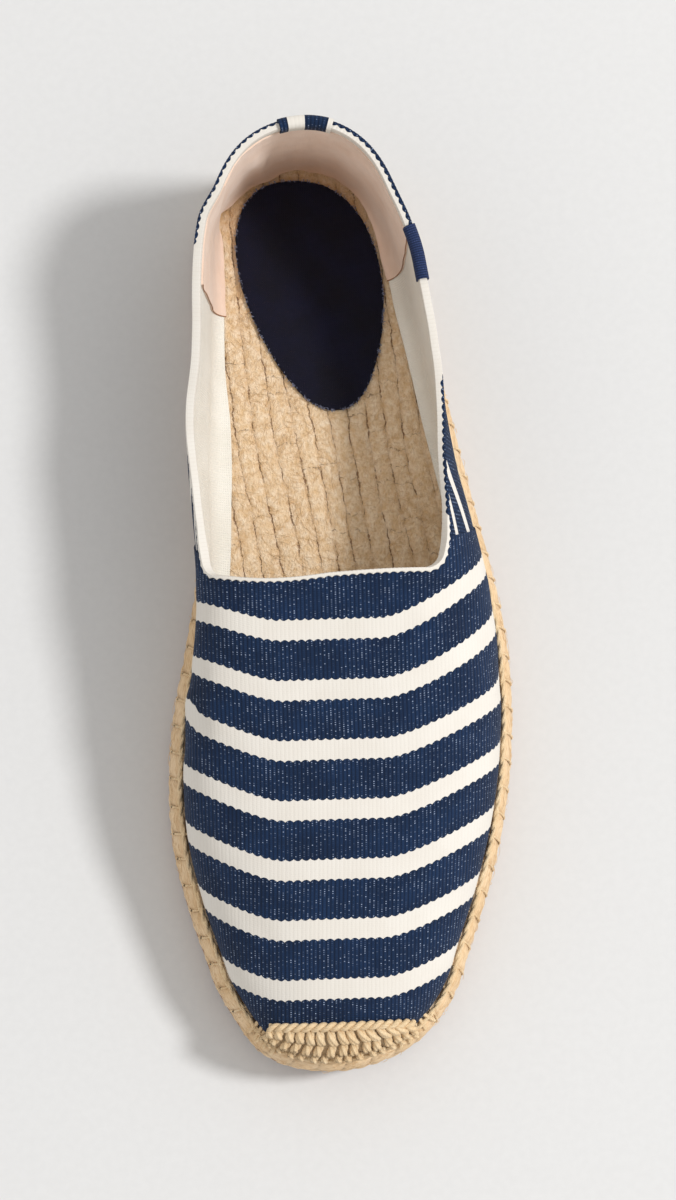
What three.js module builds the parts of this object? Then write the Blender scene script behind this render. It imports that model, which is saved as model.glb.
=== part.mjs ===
/**
 * Espadrille for the left foot: a coiled jute sole on a thin rubber outsole, a canvas upper that is
 * open at the collar and underneath, a crocheted jute toe cap and a textile heel pad.
 *
 * Millimetres, +Z up, toe towards -Y, outer side of the foot towards +X. A "station" is a distance
 * from the back of the heel along the shoe. A "turn" runs once round the sole: 0 at the back of the
 * heel, 0.25 about half way along the outer side, 0.5 at the toe, 0.75 about half way along the inner side.
 */
import * as THREE from "three";
import { toCreasedNormals } from "three/addons/utils/BufferGeometryUtils.js";

// Driving dimensions.
const SOLE_LENGTH = 279;
const HEEL_ROUND = { inner: 31, outer: 43 }; // length over which the heel end closes
const TOE_ROUND = 30; // length over which the toe end closes
const RUBBER_HEIGHT = 3.7;
const SOLE_TOP = 19.5; // top of the jute, where the foot stands
const GAP = 0.3; // between neighbouring pieces
const TOE_SPRING = 3.5; // how far the tip of the toe is lifted
const SPRING_START = 225; // station where the toe starts to lift
const WALL = 1.8; // canvas and lining together
const INSET = { heel: 2.4, toe: 4.6 }; // from the sole's edge to the outside of the upper
const TURN_IN = { heel: 2.7, side: 5.6 }; // how far the canvas is turned in over the sole
const HEEL_SEAT = 34; // station where the heel's values have given way to the others
const THROAT = 135; // station of the throat's corners
const THROAT_DIP = 2.5; // how much further forward the middle of the throat is
const THROAT_SKEW = 0.9; // how much it slants, forward on the inner side and back on the outer one
const THROAT_CORNER = 4; // radius of the throat's corners
const CORNER_STEPS = [0, 0.5, 1.5, 2.7, 3.9]; // distances behind the throat where its corner is divided
const THROAT_REACH = 40; // distance along the shoe over which the throat's bow fades
const BULGE_PEAK = 0.535; // greatest value of up * (1 - up ** 4), for up from 0 to 1
const SPINE = { start: 38, end: 245 }; // the ridge's ends, where the rounded heel and toe turn about
const CAP = { edge: 265, foot: 266.5, thickness: 2.1 }; // crocheted toe cap, and where it meets the sole
const PAD = { thickness: 1.2, back: 8.8, front: 80.4, half: 21.1, backX: -2.1, frontX: 8.4 };
const PAD_SHAPE = { fullness: 0.8, taper: 0.22, pinch: 0.06 }; // its outline's roundness and narrowing

// Half widths of the sole either side of the axis.
const SOLE = [
  { station: 0, inner: 33, outer: 35 },
  { station: 40, inner: 33.4, outer: 36.6 },
  { station: 70, inner: 34, outer: 42 },
  { station: 100, inner: 34, outer: 48 },
  { station: 130, inner: 35.6, outer: 54.6 },
  { station: 150, inner: 39.2, outer: 58 },
  { station: 170, inner: 43.4, outer: 58.9 },
  { station: 190, inner: 45.6, outer: 57.6 },
  { station: 210, inner: 45, outer: 54 },
  { station: 230, inner: 40.8, outer: 48.2 },
  { station: 250, inner: 34.6, outer: 41 },
  { station: 265, inner: 31.6, outer: 38.3 },
  { station: 279, inner: 36, outer: 39 },
];

// The last: ridge line, squareness of each side's arch and how far each side bulges outwards.
// Behind the throat the ridge is only where the open sides would meet.
const LAST = [
  { station: 0, ridge: 118, ridgeX: 0, innerBox: 3.3, outerBox: 3.3, innerLean: 0, outerLean: 0 },
  { station: 20, ridge: 117, ridgeX: 0, innerBox: 3.9, outerBox: 3.8, innerLean: -0.6, outerLean: -1.8 },
  { station: 32, ridge: 114.9, ridgeX: 0.2, innerBox: 4.5, outerBox: 3.8, innerLean: 4.4, outerLean: -0.2 },
  { station: 45, ridge: 112, ridgeX: 0.5, innerBox: 5, outerBox: 3.8, innerLean: 6.6, outerLean: 1.4 },
  { station: 70, ridge: 95, ridgeX: 1, innerBox: 5, outerBox: 3.4, innerLean: 7, outerLean: 0.9 },
  { station: 85, ridge: 79, ridgeX: 1.5, innerBox: 5.2, outerBox: 3.2, innerLean: 8.4, outerLean: 0.3 },
  { station: 100, ridge: 68.5, ridgeX: 2, innerBox: 5.5, outerBox: 3.1, innerLean: 8.6, outerLean: 0 },
  { station: 120, ridge: 65, ridgeX: 2, innerBox: 6.2, outerBox: 2.95, innerLean: 6.7, outerLean: 0 },
  { station: 137, ridge: 62.5, ridgeX: 2, innerBox: 5.8, outerBox: 2.9, innerLean: 4, outerLean: 0 },
  { station: 160, ridge: 57.5, ridgeX: 2, innerBox: 4.4, outerBox: 2.7, innerLean: 1.9, outerLean: 0 },
  { station: 190, ridge: 51.5, ridgeX: 2.2, innerBox: 3.2, outerBox: 2.5, innerLean: 1, outerLean: 0 },
  { station: 220, ridge: 45.8, ridgeX: 1.6, innerBox: 2.5, outerBox: 2.3, innerLean: 0, outerLean: 0 },
  { station: 245, ridge: 41, ridgeX: 0.6, innerBox: 2.2, outerBox: 2.2, innerLean: 0, outerLean: 0 },
  { station: 279, ridge: 34.5, ridgeX: 0, innerBox: 2.1, outerBox: 2.1, innerLean: 0, outerLean: 0 },
];

// Height of the collar's edge on each side.
const COLLAR = [
  { station: 0, inner: 68.5, outer: 68.5 },
  { station: 20, inner: 66, outer: 66 },
  { station: 45, inner: 59, outer: 59 },
  { station: 70, inner: 56, outer: 56 },
  { station: 100, inner: 54.6, outer: 55 },
  { station: 120, inner: 54.4, outer: 56 },
  { station: 137, inner: 55, outer: 58 },
];

// Edge profiles: how far each level stands out from the sole's outline.
const JUTE_EDGE = [
  { out: -1.4, height: RUBBER_HEIGHT + GAP },
  { out: -0.3, height: 6.5 },
  { out: 0, height: 11 },
  { out: -0.5, height: 15.2 },
  { out: -1.9, height: 18.2 },
  { out: -4.2, height: SOLE_TOP },
];
const RUBBER_EDGE = [
  { out: -1.6, height: 0 },
  { out: -0.5, height: 0.8 },
  { out: -0.3, height: RUBBER_HEIGHT },
];

/** Smooth value of a table's column at a station: a cubic through the rows. */
function smooth(rows, column, station) {
  const last = rows.length - 1;
  const s = THREE.MathUtils.clamp(station, rows[0].station, rows[last].station);
  let i = 0;
  while (i < last - 1 && s > rows[i + 1].station) i += 1;
  const slope = (a, b) => (rows[b][column] - rows[a][column]) / (rows[b].station - rows[a].station);
  const span = rows[i + 1].station - rows[i].station;
  const t = (s - rows[i].station) / span;
  const startSlope = span * slope(Math.max(i - 1, 0), i + 1);
  const endSlope = span * slope(i, Math.min(i + 2, last));
  const step = t * t * (3 - 2 * t);
  return (
    rows[i][column] * (1 - step) +
    rows[i + 1][column] * step +
    startSlope * t * (1 - t) ** 2 -
    endSlope * t * t * (1 - t)
  );
}

/** Station of a turn: close together at the two ends, so that round ends are finely divided. */
const stationOf = (turn) => (SOLE_LENGTH * (1 - Math.cos(2 * Math.PI * turn))) / 2;
const turnOf = (station) => Math.acos(1 - (2 * station) / SOLE_LENGTH) / (2 * Math.PI);
const side = (turn) => (turn - Math.floor(turn) < 0.5 ? "outer" : "inner");
const toeLift = (station) =>
  TOE_SPRING * Math.max(0, (station - SPRING_START) / (SOLE_LENGTH - SPRING_START)) ** 2;

/** The sole's outline in plan, as x and station. */
function solePlan(turn) {
  const station = stationOf(turn);
  const heel = THREE.MathUtils.clamp(1 - station / HEEL_ROUND[side(turn)], 0, 1);
  const toe = THREE.MathUtils.clamp(1 - (SOLE_LENGTH - station) / TOE_ROUND, 0, 1);
  const half = smooth(SOLE, side(turn), station) * Math.sqrt((1 - heel ** 2) * (1 - toe ** 2));
  return new THREE.Vector2(side(turn) === "outer" ? half : -half, station);
}

/** The outline's outward direction in plan. */
function outward(turn) {
  const tangent = solePlan(turn + 1e-4).sub(solePlan(turn - 1e-4)).normalize();
  return new THREE.Vector2(tangent.y, -tangent.x);
}

const planPoint = (turn, out) => solePlan(turn).addScaledVector(outward(turn), out);
const pastHeel = (turn) => THREE.MathUtils.smoothstep(stationOf(turn), 0, HEEL_SEAT);
const inset = (turn) => THREE.MathUtils.lerp(INSET.heel, INSET.toe, pastHeel(turn));
const turnIn = (turn) => THREE.MathUtils.lerp(TURN_IN.heel, TURN_IN.side, pastHeel(turn));
const toSpace = (x, station, z) => new THREE.Vector3(x, -station, z);

/**
 * One rib of the upper's outside, from the sole over to the ridge, as points with their distance
 * along the rib. The rib is a superellipse from the feather line to the ridge, c^box + d^box = 1,
 * that bulges outwards part of the way up. Near the throat it bows forward towards the ridge.
 */
function rib(turn, steps = 60) {
  const foot = planPoint(turn, -inset(turn));
  const out = outward(turn);
  const nominal = stationOf(turn);
  const nearThroat = Math.exp(-(((nominal - THROAT) / THROAT_REACH) ** 2));
  const spine = THREE.MathUtils.clamp(nominal, SPINE.start, SPINE.end);
  const spineX = smooth(LAST, "ridgeX", spine + THROAT_DIP * nearThroat);
  const isOuter = side(turn) === "outer";
  const sharpness = isOuter ? 2 : 4;
  const skew = isOuter ? -THROAT_SKEW : THROAT_SKEW;
  const box = smooth(LAST, `${side(turn)}Box`, nominal);
  const lean = smooth(LAST, `${side(turn)}Lean`, nominal);
  const points = [];
  let length = 0;
  for (let i = 0; i <= steps; i += 1) {
    const angle = ((i / steps) * Math.PI) / 2;
    const round = (Math.cos(angle) ** box + Math.sin(angle) ** box) ** (1 / box);
    const across = i === steps ? 0 : Math.cos(angle) / round;
    const up = i === steps ? 1 : Math.sin(angle) / round;
    const bulge = (lean * up * (1 - up ** 4)) / BULGE_PEAK;
    const x = spineX + (foot.x - spineX) * across + out.x * bulge;
    const bow = THROAT_DIP * (1 - across ** sharpness) + 4 * skew * across * (1 - across);
    const station = spine + (foot.y - spine) * across + out.y * bulge + bow * nearThroat;
    const base = SOLE_TOP + GAP + toeLift(station);
    const z = base + (smooth(LAST, "ridge", station) - base) * up;
    const point = toSpace(x, station, z);
    if (i > 0) length += point.distanceTo(points[i - 1].point);
    points.push({ point, length });
  }
  return points;
}

/** Point of a rib at a distance along it. */
function along(points, length) {
  let i = 0;
  while (i < points.length - 2 && points[i + 1].length < length) i += 1;
  const t = (length - points[i].length) / (points[i + 1].length - points[i].length);
  return points[i].point.clone().lerp(points[i + 1].point, THREE.MathUtils.clamp(t, 0, 1));
}

/** Distance up a rib to the collar's edge, with the rounded corner where the edge meets the throat. */
function collarLength(points, turn) {
  const station = Math.min(stationOf(turn), THROAT);
  const height = smooth(COLLAR, side(turn), station);
  const i = points.findIndex(({ point }) => point.z >= height);
  const [below, above] = [points[i - 1], points[i]];
  const t = (height - below.point.z) / (above.point.z - below.point.z);
  const intoCorner = Math.max(0, station - (THROAT - THROAT_CORNER));
  const rise = THROAT_CORNER - Math.sqrt(THROAT_CORNER ** 2 - intoCorner ** 2);
  return below.length + t * (above.length - below.length) + rise;
}

/** Collects triangles between points, joining points that coincide. */
class Skin {
  constructor() {
    this.index = new Map();
    this.points = [];
    this.faces = [];
  }

  add(point) {
    const key = point.toArray().map((value) => Math.round(value * 1e4)).join();
    if (!this.index.has(key)) {
      this.index.set(key, this.points.length);
      this.points.push(point.clone());
    }
    return this.index.get(key);
  }

  triangle(a, b, c) {
    if (a !== b && b !== c && c !== a) this.faces.push(a, b, c);
  }

  quad(a, b, c, d) {
    this.triangle(a, b, c);
    this.triangle(a, c, d);
  }

  geometry() {
    const made = new THREE.BufferGeometry();
    const flat = this.points.flatMap((point) => point.toArray());
    made.setAttribute("position", new THREE.Float32BufferAttribute(flat, 3));
    made.setIndex(this.faces);
    return made;
  }
}

/** A solid between rings of points, lowest ring first, closed below and above by rungs across it. */
function ringSolid(rings) {
  const skin = new Skin();
  const ids = rings.map((ring) => ring.map((point) => skin.add(point)));
  const count = rings[0].length;
  for (let level = 0; level < ids.length - 1; level += 1) {
    for (let k = 0; k < count; k += 1) {
      const next = (k + 1) % count;
      skin.quad(ids[level][next], ids[level][k], ids[level + 1][k], ids[level + 1][next]);
    }
  }
  const bottom = ids[0];
  const top = ids[ids.length - 1];
  for (let k = 0; k < count / 2; k += 1) {
    const [a, b, c, d] = [k, k + 1, (count - k - 1) % count, (count - k) % count];
    skin.quad(bottom[a], bottom[b], bottom[c], bottom[d]);
    skin.quad(top[d], top[c], top[b], top[a]);
  }
  return skin.geometry();
}

/** Rings of the sole at the levels of an edge profile. */
function soleRings(profile, count) {
  return profile.map(({ out, height }) =>
    Array.from({ length: count }, (_, k) => {
      const { x, y: station } = planPoint(k / count, out);
      return toSpace(x, station, height + toeLift(station));
    }),
  );
}

/** Turns that the upper is divided at: even, with a few more at the throat's corners. */
function upperTurns(count) {
  const throat = turnOf(THROAT);
  const even = Array.from({ length: count / 2 - 1 }, (_, k) => (k + 1) / count);
  const clear = even.filter((turn) => Math.abs(turn - throat) > 0.35 / count);
  const corner = CORNER_STEPS.map((back) => turnOf(THROAT - back));
  const outerHalf = [...new Set([...clear, ...corner])].sort((a, b) => a - b);
  const innerHalf = outerHalf.map((turn) => 1 - turn).reverse();
  return { turns: [0, ...outerHalf, 0.5, ...innerHalf], throat };
}

/** The upper: one shell, open at the collar and throat, and underneath inside its turned-in edge. */
function upperGeometry() {
  const { turns, throat } = upperTurns(64);
  const inVamp = turns.map((turn) => turn >= throat - 1e-9 && turn <= 1 - throat + 1e-9);
  const sideRows = 7;
  const topRows = 7;
  const throatShare = Object.fromEntries(
    [throat, 1 - throat].map((turn) => {
      const points = rib(turn);
      return [side(turn), collarLength(points, turn) / points.at(-1).length];
    }),
  );
  const toeShare = 0.5;

  const outer = new Skin();
  const grid = turns.map((turn, k) => {
    const points = rib(turn);
    const full = points.at(-1).length;
    const forward = THREE.MathUtils.smoothstep(stationOf(turn), THROAT, SOLE_LENGTH);
    const share = THREE.MathUtils.lerp(throatShare[side(turn)], toeShare, forward);
    const split = inVamp[k] ? full * share : collarLength(points, turn);
    const lengths = Array.from({ length: sideRows + 1 }, (_, j) => (split * j) / sideRows);
    if (inVamp[k]) {
      for (let j = 1; j <= topRows; j += 1) lengths.push(split + ((full - split) * j) / topRows);
    }
    return lengths.map((length) => outer.add(along(points, length)));
  });
  const cells = (visit) =>
    grid.forEach((column, k) => {
      const next = grid[(k + 1) % grid.length];
      const rows = Math.min(column.length, next.length) - 1;
      for (let j = 0; j < rows; j += 1) visit(column[j], next[j], next[j + 1], column[j + 1]);
    });
  cells((a, b, c, d) => outer.quad(b, a, d, c));

  // The inside is the outside moved in along its normals by the wall's thickness.
  const normals = outer.geometry();
  normals.computeVertexNormals();
  const normal = new THREE.Vector3();
  const inside = outer.points.map((point, i) =>
    point.clone().addScaledVector(normal.fromBufferAttribute(normals.attributes.normal, i), -WALL),
  );

  const shell = new Skin();
  const out = outer.points.map((point) => shell.add(point));
  const inn = inside.map((point) => shell.add(point));
  const firstInside = 2; // rows below this are the rounded turn-in
  grid.forEach((column, k) => {
    const next = grid[(k + 1) % grid.length];
    const rows = Math.min(column.length, next.length) - 1;
    for (let j = 0; j < rows; j += 1) {
      shell.quad(out[next[j]], out[column[j]], out[column[j + 1]], out[next[j + 1]]);
      if (j < firstInside) continue;
      shell.quad(inn[column[j]], inn[next[j]], inn[next[j + 1]], inn[column[j + 1]]);
    }
    const bothVamp = inVamp[k] && inVamp[(k + 1) % grid.length];
    if (!bothVamp) {
      const [a, b] = [column[sideRows], next[sideRows]];
      shell.quad(out[b], out[a], inn[a], inn[b]);
    }
  });
  for (const [turn, flip] of [[throat, false], [1 - throat, true]]) {
    const column = grid[turns.findIndex((value) => Math.abs(value - turn) < 1e-9)];
    for (let j = sideRows; j < column.length - 1; j += 1) {
      const [a, b] = flip ? [column[j + 1], column[j]] : [column[j], column[j + 1]];
      shell.quad(out[b], out[a], inn[a], inn[b]);
    }
  }

  // The turned-in edge that lies on the sole: a fillet down to a thin lip, and its flat underside.
  const lipProfile = [
    { share: 0.05, up: 4.6 },
    { share: 0.36, up: 2.6 },
    { share: 0.82, up: WALL - 0.2 },
    { share: 1, up: WALL - 0.6 },
    { share: 1, up: 0 },
  ];
  const lips = turns.map((turn) =>
    lipProfile.map(({ share, up }) => {
      const inward = THREE.MathUtils.lerp(WALL, turnIn(turn), share);
      const { x, y: station } = planPoint(turn, -inset(turn) - inward);
      return shell.add(toSpace(x, station, SOLE_TOP + GAP + toeLift(station) + up));
    }),
  );
  grid.forEach((column, k) => {
    const n = (k + 1) % grid.length;
    const here = [inn[column[firstInside]], ...lips[k], out[column[0]]];
    const there = [inn[grid[n][firstInside]], ...lips[n], out[grid[n][0]]];
    for (let j = 0; j < here.length - 1; j += 1) shell.quad(here[j + 1], there[j + 1], there[j], here[j]);
  });
  return shell.geometry();
}

/** Point of the upper's outside, a distance up the rib of a turn and proud of it by a height. */
function proudPoint(turn, length, proud) {
  const at = (t, l) => along(rib(t), l);
  const [step, reach] = [1e-3, 0.4];
  const acrossRibs = at(turn + step, length).sub(at(turn - step, length));
  const upRib = at(turn, length + reach).sub(at(turn, Math.max(length - reach, 0)));
  const normal = acrossRibs.cross(upRib).normalize().negate();
  return at(turn, length).addScaledVector(normal, proud);
}

/** Turn of the rib, near the toe, that starts from the sole at a station. */
function turnWithFootAt(station) {
  let [low, high] = [turnOf(THROAT), 0.5];
  while (high - low > 1e-6) {
    const middle = (low + high) / 2;
    if (planPoint(middle, -inset(middle)).y < station) low = middle;
    else high = middle;
  }
  return high;
}

/** The crocheted toe cap: the part of a second skin over the upper that lies ahead of its edge. */
function toeCapGeometry() {
  const rows = 5;
  const columns = 26;
  const start = turnWithFootAt(CAP.foot);
  const layers = [GAP + CAP.thickness, GAP].map((proud) =>
    Array.from({ length: columns + 1 }, (_, k) => {
      const turn = THREE.MathUtils.lerp(start, 1 - start, k / columns);
      const edge = rib(turn).find(({ point }) => -point.y <= CAP.edge).length;
      return Array.from({ length: rows + 1 }, (_, j) => proudPoint(turn, (edge * j) / rows, proud));
    }),
  );
  const skin = new Skin();
  const [out, inn] = layers.map((layer) => layer.map((column) => column.map((point) => skin.add(point))));
  for (let k = 0; k < columns; k += 1) {
    for (let j = 0; j < rows; j += 1) {
      skin.quad(out[k + 1][j], out[k][j], out[k][j + 1], out[k + 1][j + 1]);
      skin.quad(inn[k][j], inn[k + 1][j], inn[k + 1][j + 1], inn[k][j + 1]);
    }
    skin.quad(out[k][0], out[k + 1][0], inn[k + 1][0], inn[k][0]);
    skin.quad(out[k + 1][rows], out[k][rows], inn[k][rows], inn[k + 1][rows]);
  }
  for (let j = 0; j < rows; j += 1) {
    skin.quad(out[0][j + 1], out[0][j], inn[0][j], inn[0][j + 1]);
    skin.quad(out[columns][j], out[columns][j + 1], inn[columns][j + 1], inn[columns][j]);
  }
  return skin.geometry();
}

/** The heel pad: an egg-shaped piece of cloth, blunt end at the back of the heel. */
function heelPadGeometry() {
  const steps = 44;
  const middle = (PAD.back + PAD.front) / 2;
  const reach = (PAD.front - PAD.back) / 2;
  const rings = [0, PAD.thickness].map((up) =>
    Array.from({ length: steps }, (_, k) => {
      const angle = (2 * Math.PI * k) / steps;
      const forward = -Math.cos(angle);
      const half = PAD.half * (1 - PAD_SHAPE.taper * forward - PAD_SHAPE.pinch * forward ** 2);
      const centre = THREE.MathUtils.lerp(PAD.backX, PAD.frontX, (forward + 1) / 2);
      const aside = Math.sign(Math.sin(angle)) * half * Math.abs(Math.sin(angle)) ** PAD_SHAPE.fullness;
      return toSpace(centre + aside, middle + reach * forward, SOLE_TOP + GAP + up);
    }),
  );
  return ringSolid(rings);
}

/** A named piece with its own material. */
function piece(name, geometry, color, roughness) {
  const material = new THREE.MeshStandardMaterial({ color, roughness, metalness: 0 });
  const mesh = new THREE.Mesh(toCreasedNormals(geometry, Math.PI / 6), material);
  mesh.name = name;
  return mesh;
}

const SOLE_DIVISIONS = 72;
const espadrille = new THREE.Group();
espadrille.add(
  piece("outsole", ringSolid(soleRings(RUBBER_EDGE, SOLE_DIVISIONS)), 0xc9a57c, 0.7),
  piece("jute_sole", ringSolid(soleRings(JUTE_EDGE, SOLE_DIVISIONS)), 0xc8a878, 0.95),
  piece("upper", upperGeometry(), 0x1d2b4f, 0.9),
  piece("toe_cap", toeCapGeometry(), 0xd2b184, 0.95),
  piece("heel_pad", heelPadGeometry(), 0x0f1430, 0.9),
);

// The origin is under the middle of the whole shoe, on the floor.
const extent = new THREE.Box3().setFromObject(espadrille);
const centre = extent.getCenter(new THREE.Vector3());
espadrille.position.set(-centre.x, -centre.y, 0);

export default espadrille;
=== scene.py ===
"""Looks of a left espadrille: striped canvas on a coiled jute sole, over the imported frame.

Shapes are worked out in millimetres in the shoe's own terms and written to the meshes in metres. A
"station" is a distance from the back of the heel along the shoe. A "turn" runs once round the sole: 0 at
the back of the heel, 0.25 half way along the outer side, 0.5 at the toe, 0.75 half way along the inner side.
A "rib" is the line that the upper's surface follows from the sole, at one turn, up to the ridge.
"""

from __future__ import annotations

import logging
import math
from dataclasses import dataclass, field
from enum import Enum
from typing import NamedTuple

import bpy
import numpy as np
from mathutils import Matrix, Vector


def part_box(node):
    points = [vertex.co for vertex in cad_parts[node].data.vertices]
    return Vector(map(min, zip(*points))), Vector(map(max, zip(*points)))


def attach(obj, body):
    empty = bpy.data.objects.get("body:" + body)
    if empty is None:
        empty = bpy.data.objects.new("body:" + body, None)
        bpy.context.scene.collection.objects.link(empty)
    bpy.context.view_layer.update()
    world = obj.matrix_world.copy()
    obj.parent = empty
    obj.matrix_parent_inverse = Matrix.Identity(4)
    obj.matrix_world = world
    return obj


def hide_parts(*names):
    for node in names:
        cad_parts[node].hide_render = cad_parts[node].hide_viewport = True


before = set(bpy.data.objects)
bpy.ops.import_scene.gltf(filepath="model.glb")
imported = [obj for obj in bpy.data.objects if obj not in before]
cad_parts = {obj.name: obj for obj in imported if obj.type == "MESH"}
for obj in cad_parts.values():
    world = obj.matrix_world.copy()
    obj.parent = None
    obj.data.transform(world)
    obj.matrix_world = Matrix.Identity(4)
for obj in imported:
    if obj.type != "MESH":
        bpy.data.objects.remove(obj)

LOG = logging.getLogger("espadrille")
Array = np.ndarray
Material = bpy.types.Material
Socket = bpy.types.NodeSocket
MM = 0.001
BODY = "root"
BATCH = 8192  # ribs worked out at one time
SHARP = math.radians(55)  # edges that turn further than this are drawn sharp
SAME = 1e-4  # points closer than this, in millimetres, are one
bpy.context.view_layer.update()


# The shoe's form: the same sizes and formulas as its solids have.


class SoleRow(NamedTuple):
    """Half widths of the sole either side of the axis at a station."""

    station: float
    inner: float
    outer: float


class LastRow(NamedTuple):
    """The last at a station: ridge height and place, each side's squareness and how far it bulges."""

    station: float
    ridge: float
    ridge_x: float
    inner_box: float
    outer_box: float
    inner_lean: float
    outer_lean: float


class CollarRow(NamedTuple):
    """Height of the collar's edge on each side at a station."""

    station: float
    inner: float
    outer: float


SOLE = (
    SoleRow(0, 33, 35),
    SoleRow(40, 33.4, 36.6),
    SoleRow(70, 34, 42),
    SoleRow(100, 34, 48),
    SoleRow(130, 35.6, 54.6),
    SoleRow(150, 39.2, 58),
    SoleRow(170, 43.4, 58.9),
    SoleRow(190, 45.6, 57.6),
    SoleRow(210, 45, 54),
    SoleRow(230, 40.8, 48.2),
    SoleRow(250, 34.6, 41),
    SoleRow(265, 31.6, 38.3),
    SoleRow(279, 36, 39),
)
LAST = (
    LastRow(0, 118, 0, 3.3, 3.3, 0, 0),
    LastRow(20, 117, 0, 3.9, 3.8, -0.6, -1.8),
    LastRow(32, 114.9, 0.2, 4.5, 3.8, 4.4, -0.2),
    LastRow(45, 112, 0.5, 5, 3.8, 6.6, 1.4),
    LastRow(70, 95, 1, 5, 3.4, 7, 0.9),
    LastRow(85, 79, 1.5, 5.2, 3.2, 8.4, 0.3),
    LastRow(100, 68.5, 2, 5.5, 3.1, 8.6, 0),
    LastRow(120, 65, 2, 6.2, 2.95, 6.7, 0),
    LastRow(137, 62.5, 2, 5.8, 2.9, 4, 0),
    LastRow(160, 57.5, 2, 4.4, 2.7, 1.9, 0),
    LastRow(190, 51.5, 2.2, 3.2, 2.5, 1, 0),
    LastRow(220, 45.8, 1.6, 2.5, 2.3, 0, 0),
    LastRow(245, 41, 0.6, 2.2, 2.2, 0, 0),
    LastRow(279, 34.5, 0, 2.1, 2.1, 0, 0),
)
COLLAR = (
    CollarRow(0, 68.5, 68.5),
    CollarRow(20, 66, 66),
    CollarRow(45, 59, 59),
    CollarRow(70, 56, 56),
    CollarRow(100, 54.6, 55),
    CollarRow(120, 54.4, 56),
    CollarRow(137, 55, 58),
)


class Crease(NamedTuple):
    """A soft ridge, or a trough where the height is negative, along a line seen from above."""

    x0: float
    station0: float
    x1: float
    station1: float
    width: float
    height: float


CREASES = (
    Crease(-46, 166, -30, 176, 3.2, 0.7),
    Crease(-47, 180, -30, 187, 4.0, -0.5),
    Crease(-36.5, 163, -36, 181, 2.4, -0.7),
    Crease(36, 141, 54, 166, 4.5, -0.55),
    Crease(30, 150, 47, 172, 4.5, 0.4),
    Crease(50, 184, 26, 197, 4.2, -0.45),
    Crease(-26, 196, 22, 200, 6.5, -0.35),
    Crease(-30, 207, 30, 212, 7.0, 0.3),
    Crease(30, 232, 12, 246, 4.5, -0.4),
    Crease(-31, 222, -18, 243, 4.0, -0.4),
    Crease(-36, 62, -38, 76, 9.0, -0.35),
    Crease(-40, 112, -38, 124, 8.0, -0.3),
    Crease(40, 70, 46, 104, 5.0, -0.4),
)


def creased(points: Array) -> Array:
    """How far the creases move points outwards.

    Each one is its height times a bell curve of the distance from its line in plan.

    Args:
        points: points of the upper.

    Returns:
        The sum over the creases, in millimetres.
    """
    total = np.zeros(points.shape[:-1])
    for crease in CREASES:
        start = np.array([crease.x0, -crease.station0])
        line = np.array([crease.x1, -crease.station1]) - start
        share = np.clip((points[..., :2] - start) @ line / (line @ line), 0, 1)
        off = points[..., :2] - start - share[..., None] * line
        total += crease.height * np.exp(-(off**2).sum(-1) / crease.width**2)
    return total


def read(rows: tuple, column: str, station: Array) -> Array:
    """Smooth value of a table's column: a cubic between rows, with slopes from the rows either side.

    Args:
        rows: the table, by rising station.
        column: the name of the column.
        station: where to read it.

    Returns:
        The value at each station, held level beyond the ends.
    """
    at = np.array([row.station for row in rows], dtype=float)
    value = np.array([getattr(row, column) for row in rows], dtype=float)
    place = np.clip(station, at[0], at[-1])
    i = np.clip(np.searchsorted(at, place, side="left") - 1, 0, len(at) - 2)
    before, after = np.maximum(i - 1, 0), np.minimum(i + 2, len(at) - 1)
    span = at[i + 1] - at[i]
    t = (place - at[i]) / span
    start = span * (value[i + 1] - value[before]) / (at[i + 1] - at[before])
    end = span * (value[after] - value[i]) / (at[after] - at[i])
    step = t * t * (3 - 2 * t)
    return value[i] * (1 - step) + value[i + 1] * step + start * t * (1 - t) ** 2 - end * t * t * (1 - t)


def smoothstep(value: Array, low: float, high: float) -> Array:
    """0 below low, 1 above high and an S curve between them."""
    t = np.clip((np.asarray(value, dtype=float) - low) / (high - low), 0, 1)
    return t * t * (3 - 2 * t)


def mix(a: Array, b: Array, t: Array) -> Array:
    """a where t is 0 and b where t is 1."""
    return a + (b - a) * t


def bell(value: Array, centre: Array, width: float) -> Array:
    """A bell curve: 1 at its centre and 0.37 a width away from it."""
    return np.exp(-(((value - centre) / width) ** 2))


def unit(vectors: Array) -> Array:
    """Vectors divided by their lengths."""
    return vectors / np.maximum(np.linalg.norm(vectors, axis=-1, keepdims=True), 1e-9)


def running(points: Array) -> Array:
    """Distance along a line of points from its start."""
    return np.concatenate([[0.0], np.cumsum(np.linalg.norm(np.diff(points, axis=0), axis=-1))])


def travelled(grid: Array) -> Array:
    """Distance along each row of a grid of points from the row's start."""
    steps = np.linalg.norm(np.diff(grid, axis=1), axis=-1)
    return np.concatenate([np.zeros((len(grid), 1)), np.cumsum(steps, axis=1)], 1)


def spaced(points: Array, count: int, *others: Array) -> tuple[Array, ...]:
    """The line of points, and the values that go with them, at evenly spaced places along it."""
    reach = running(points)
    want = np.linspace(0, reach[-1], count)
    line = np.stack([np.interp(want, reach, points[:, k]) for k in range(points.shape[1])], -1)
    return (line, *(np.interp(want, reach, other) for other in others))


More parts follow.
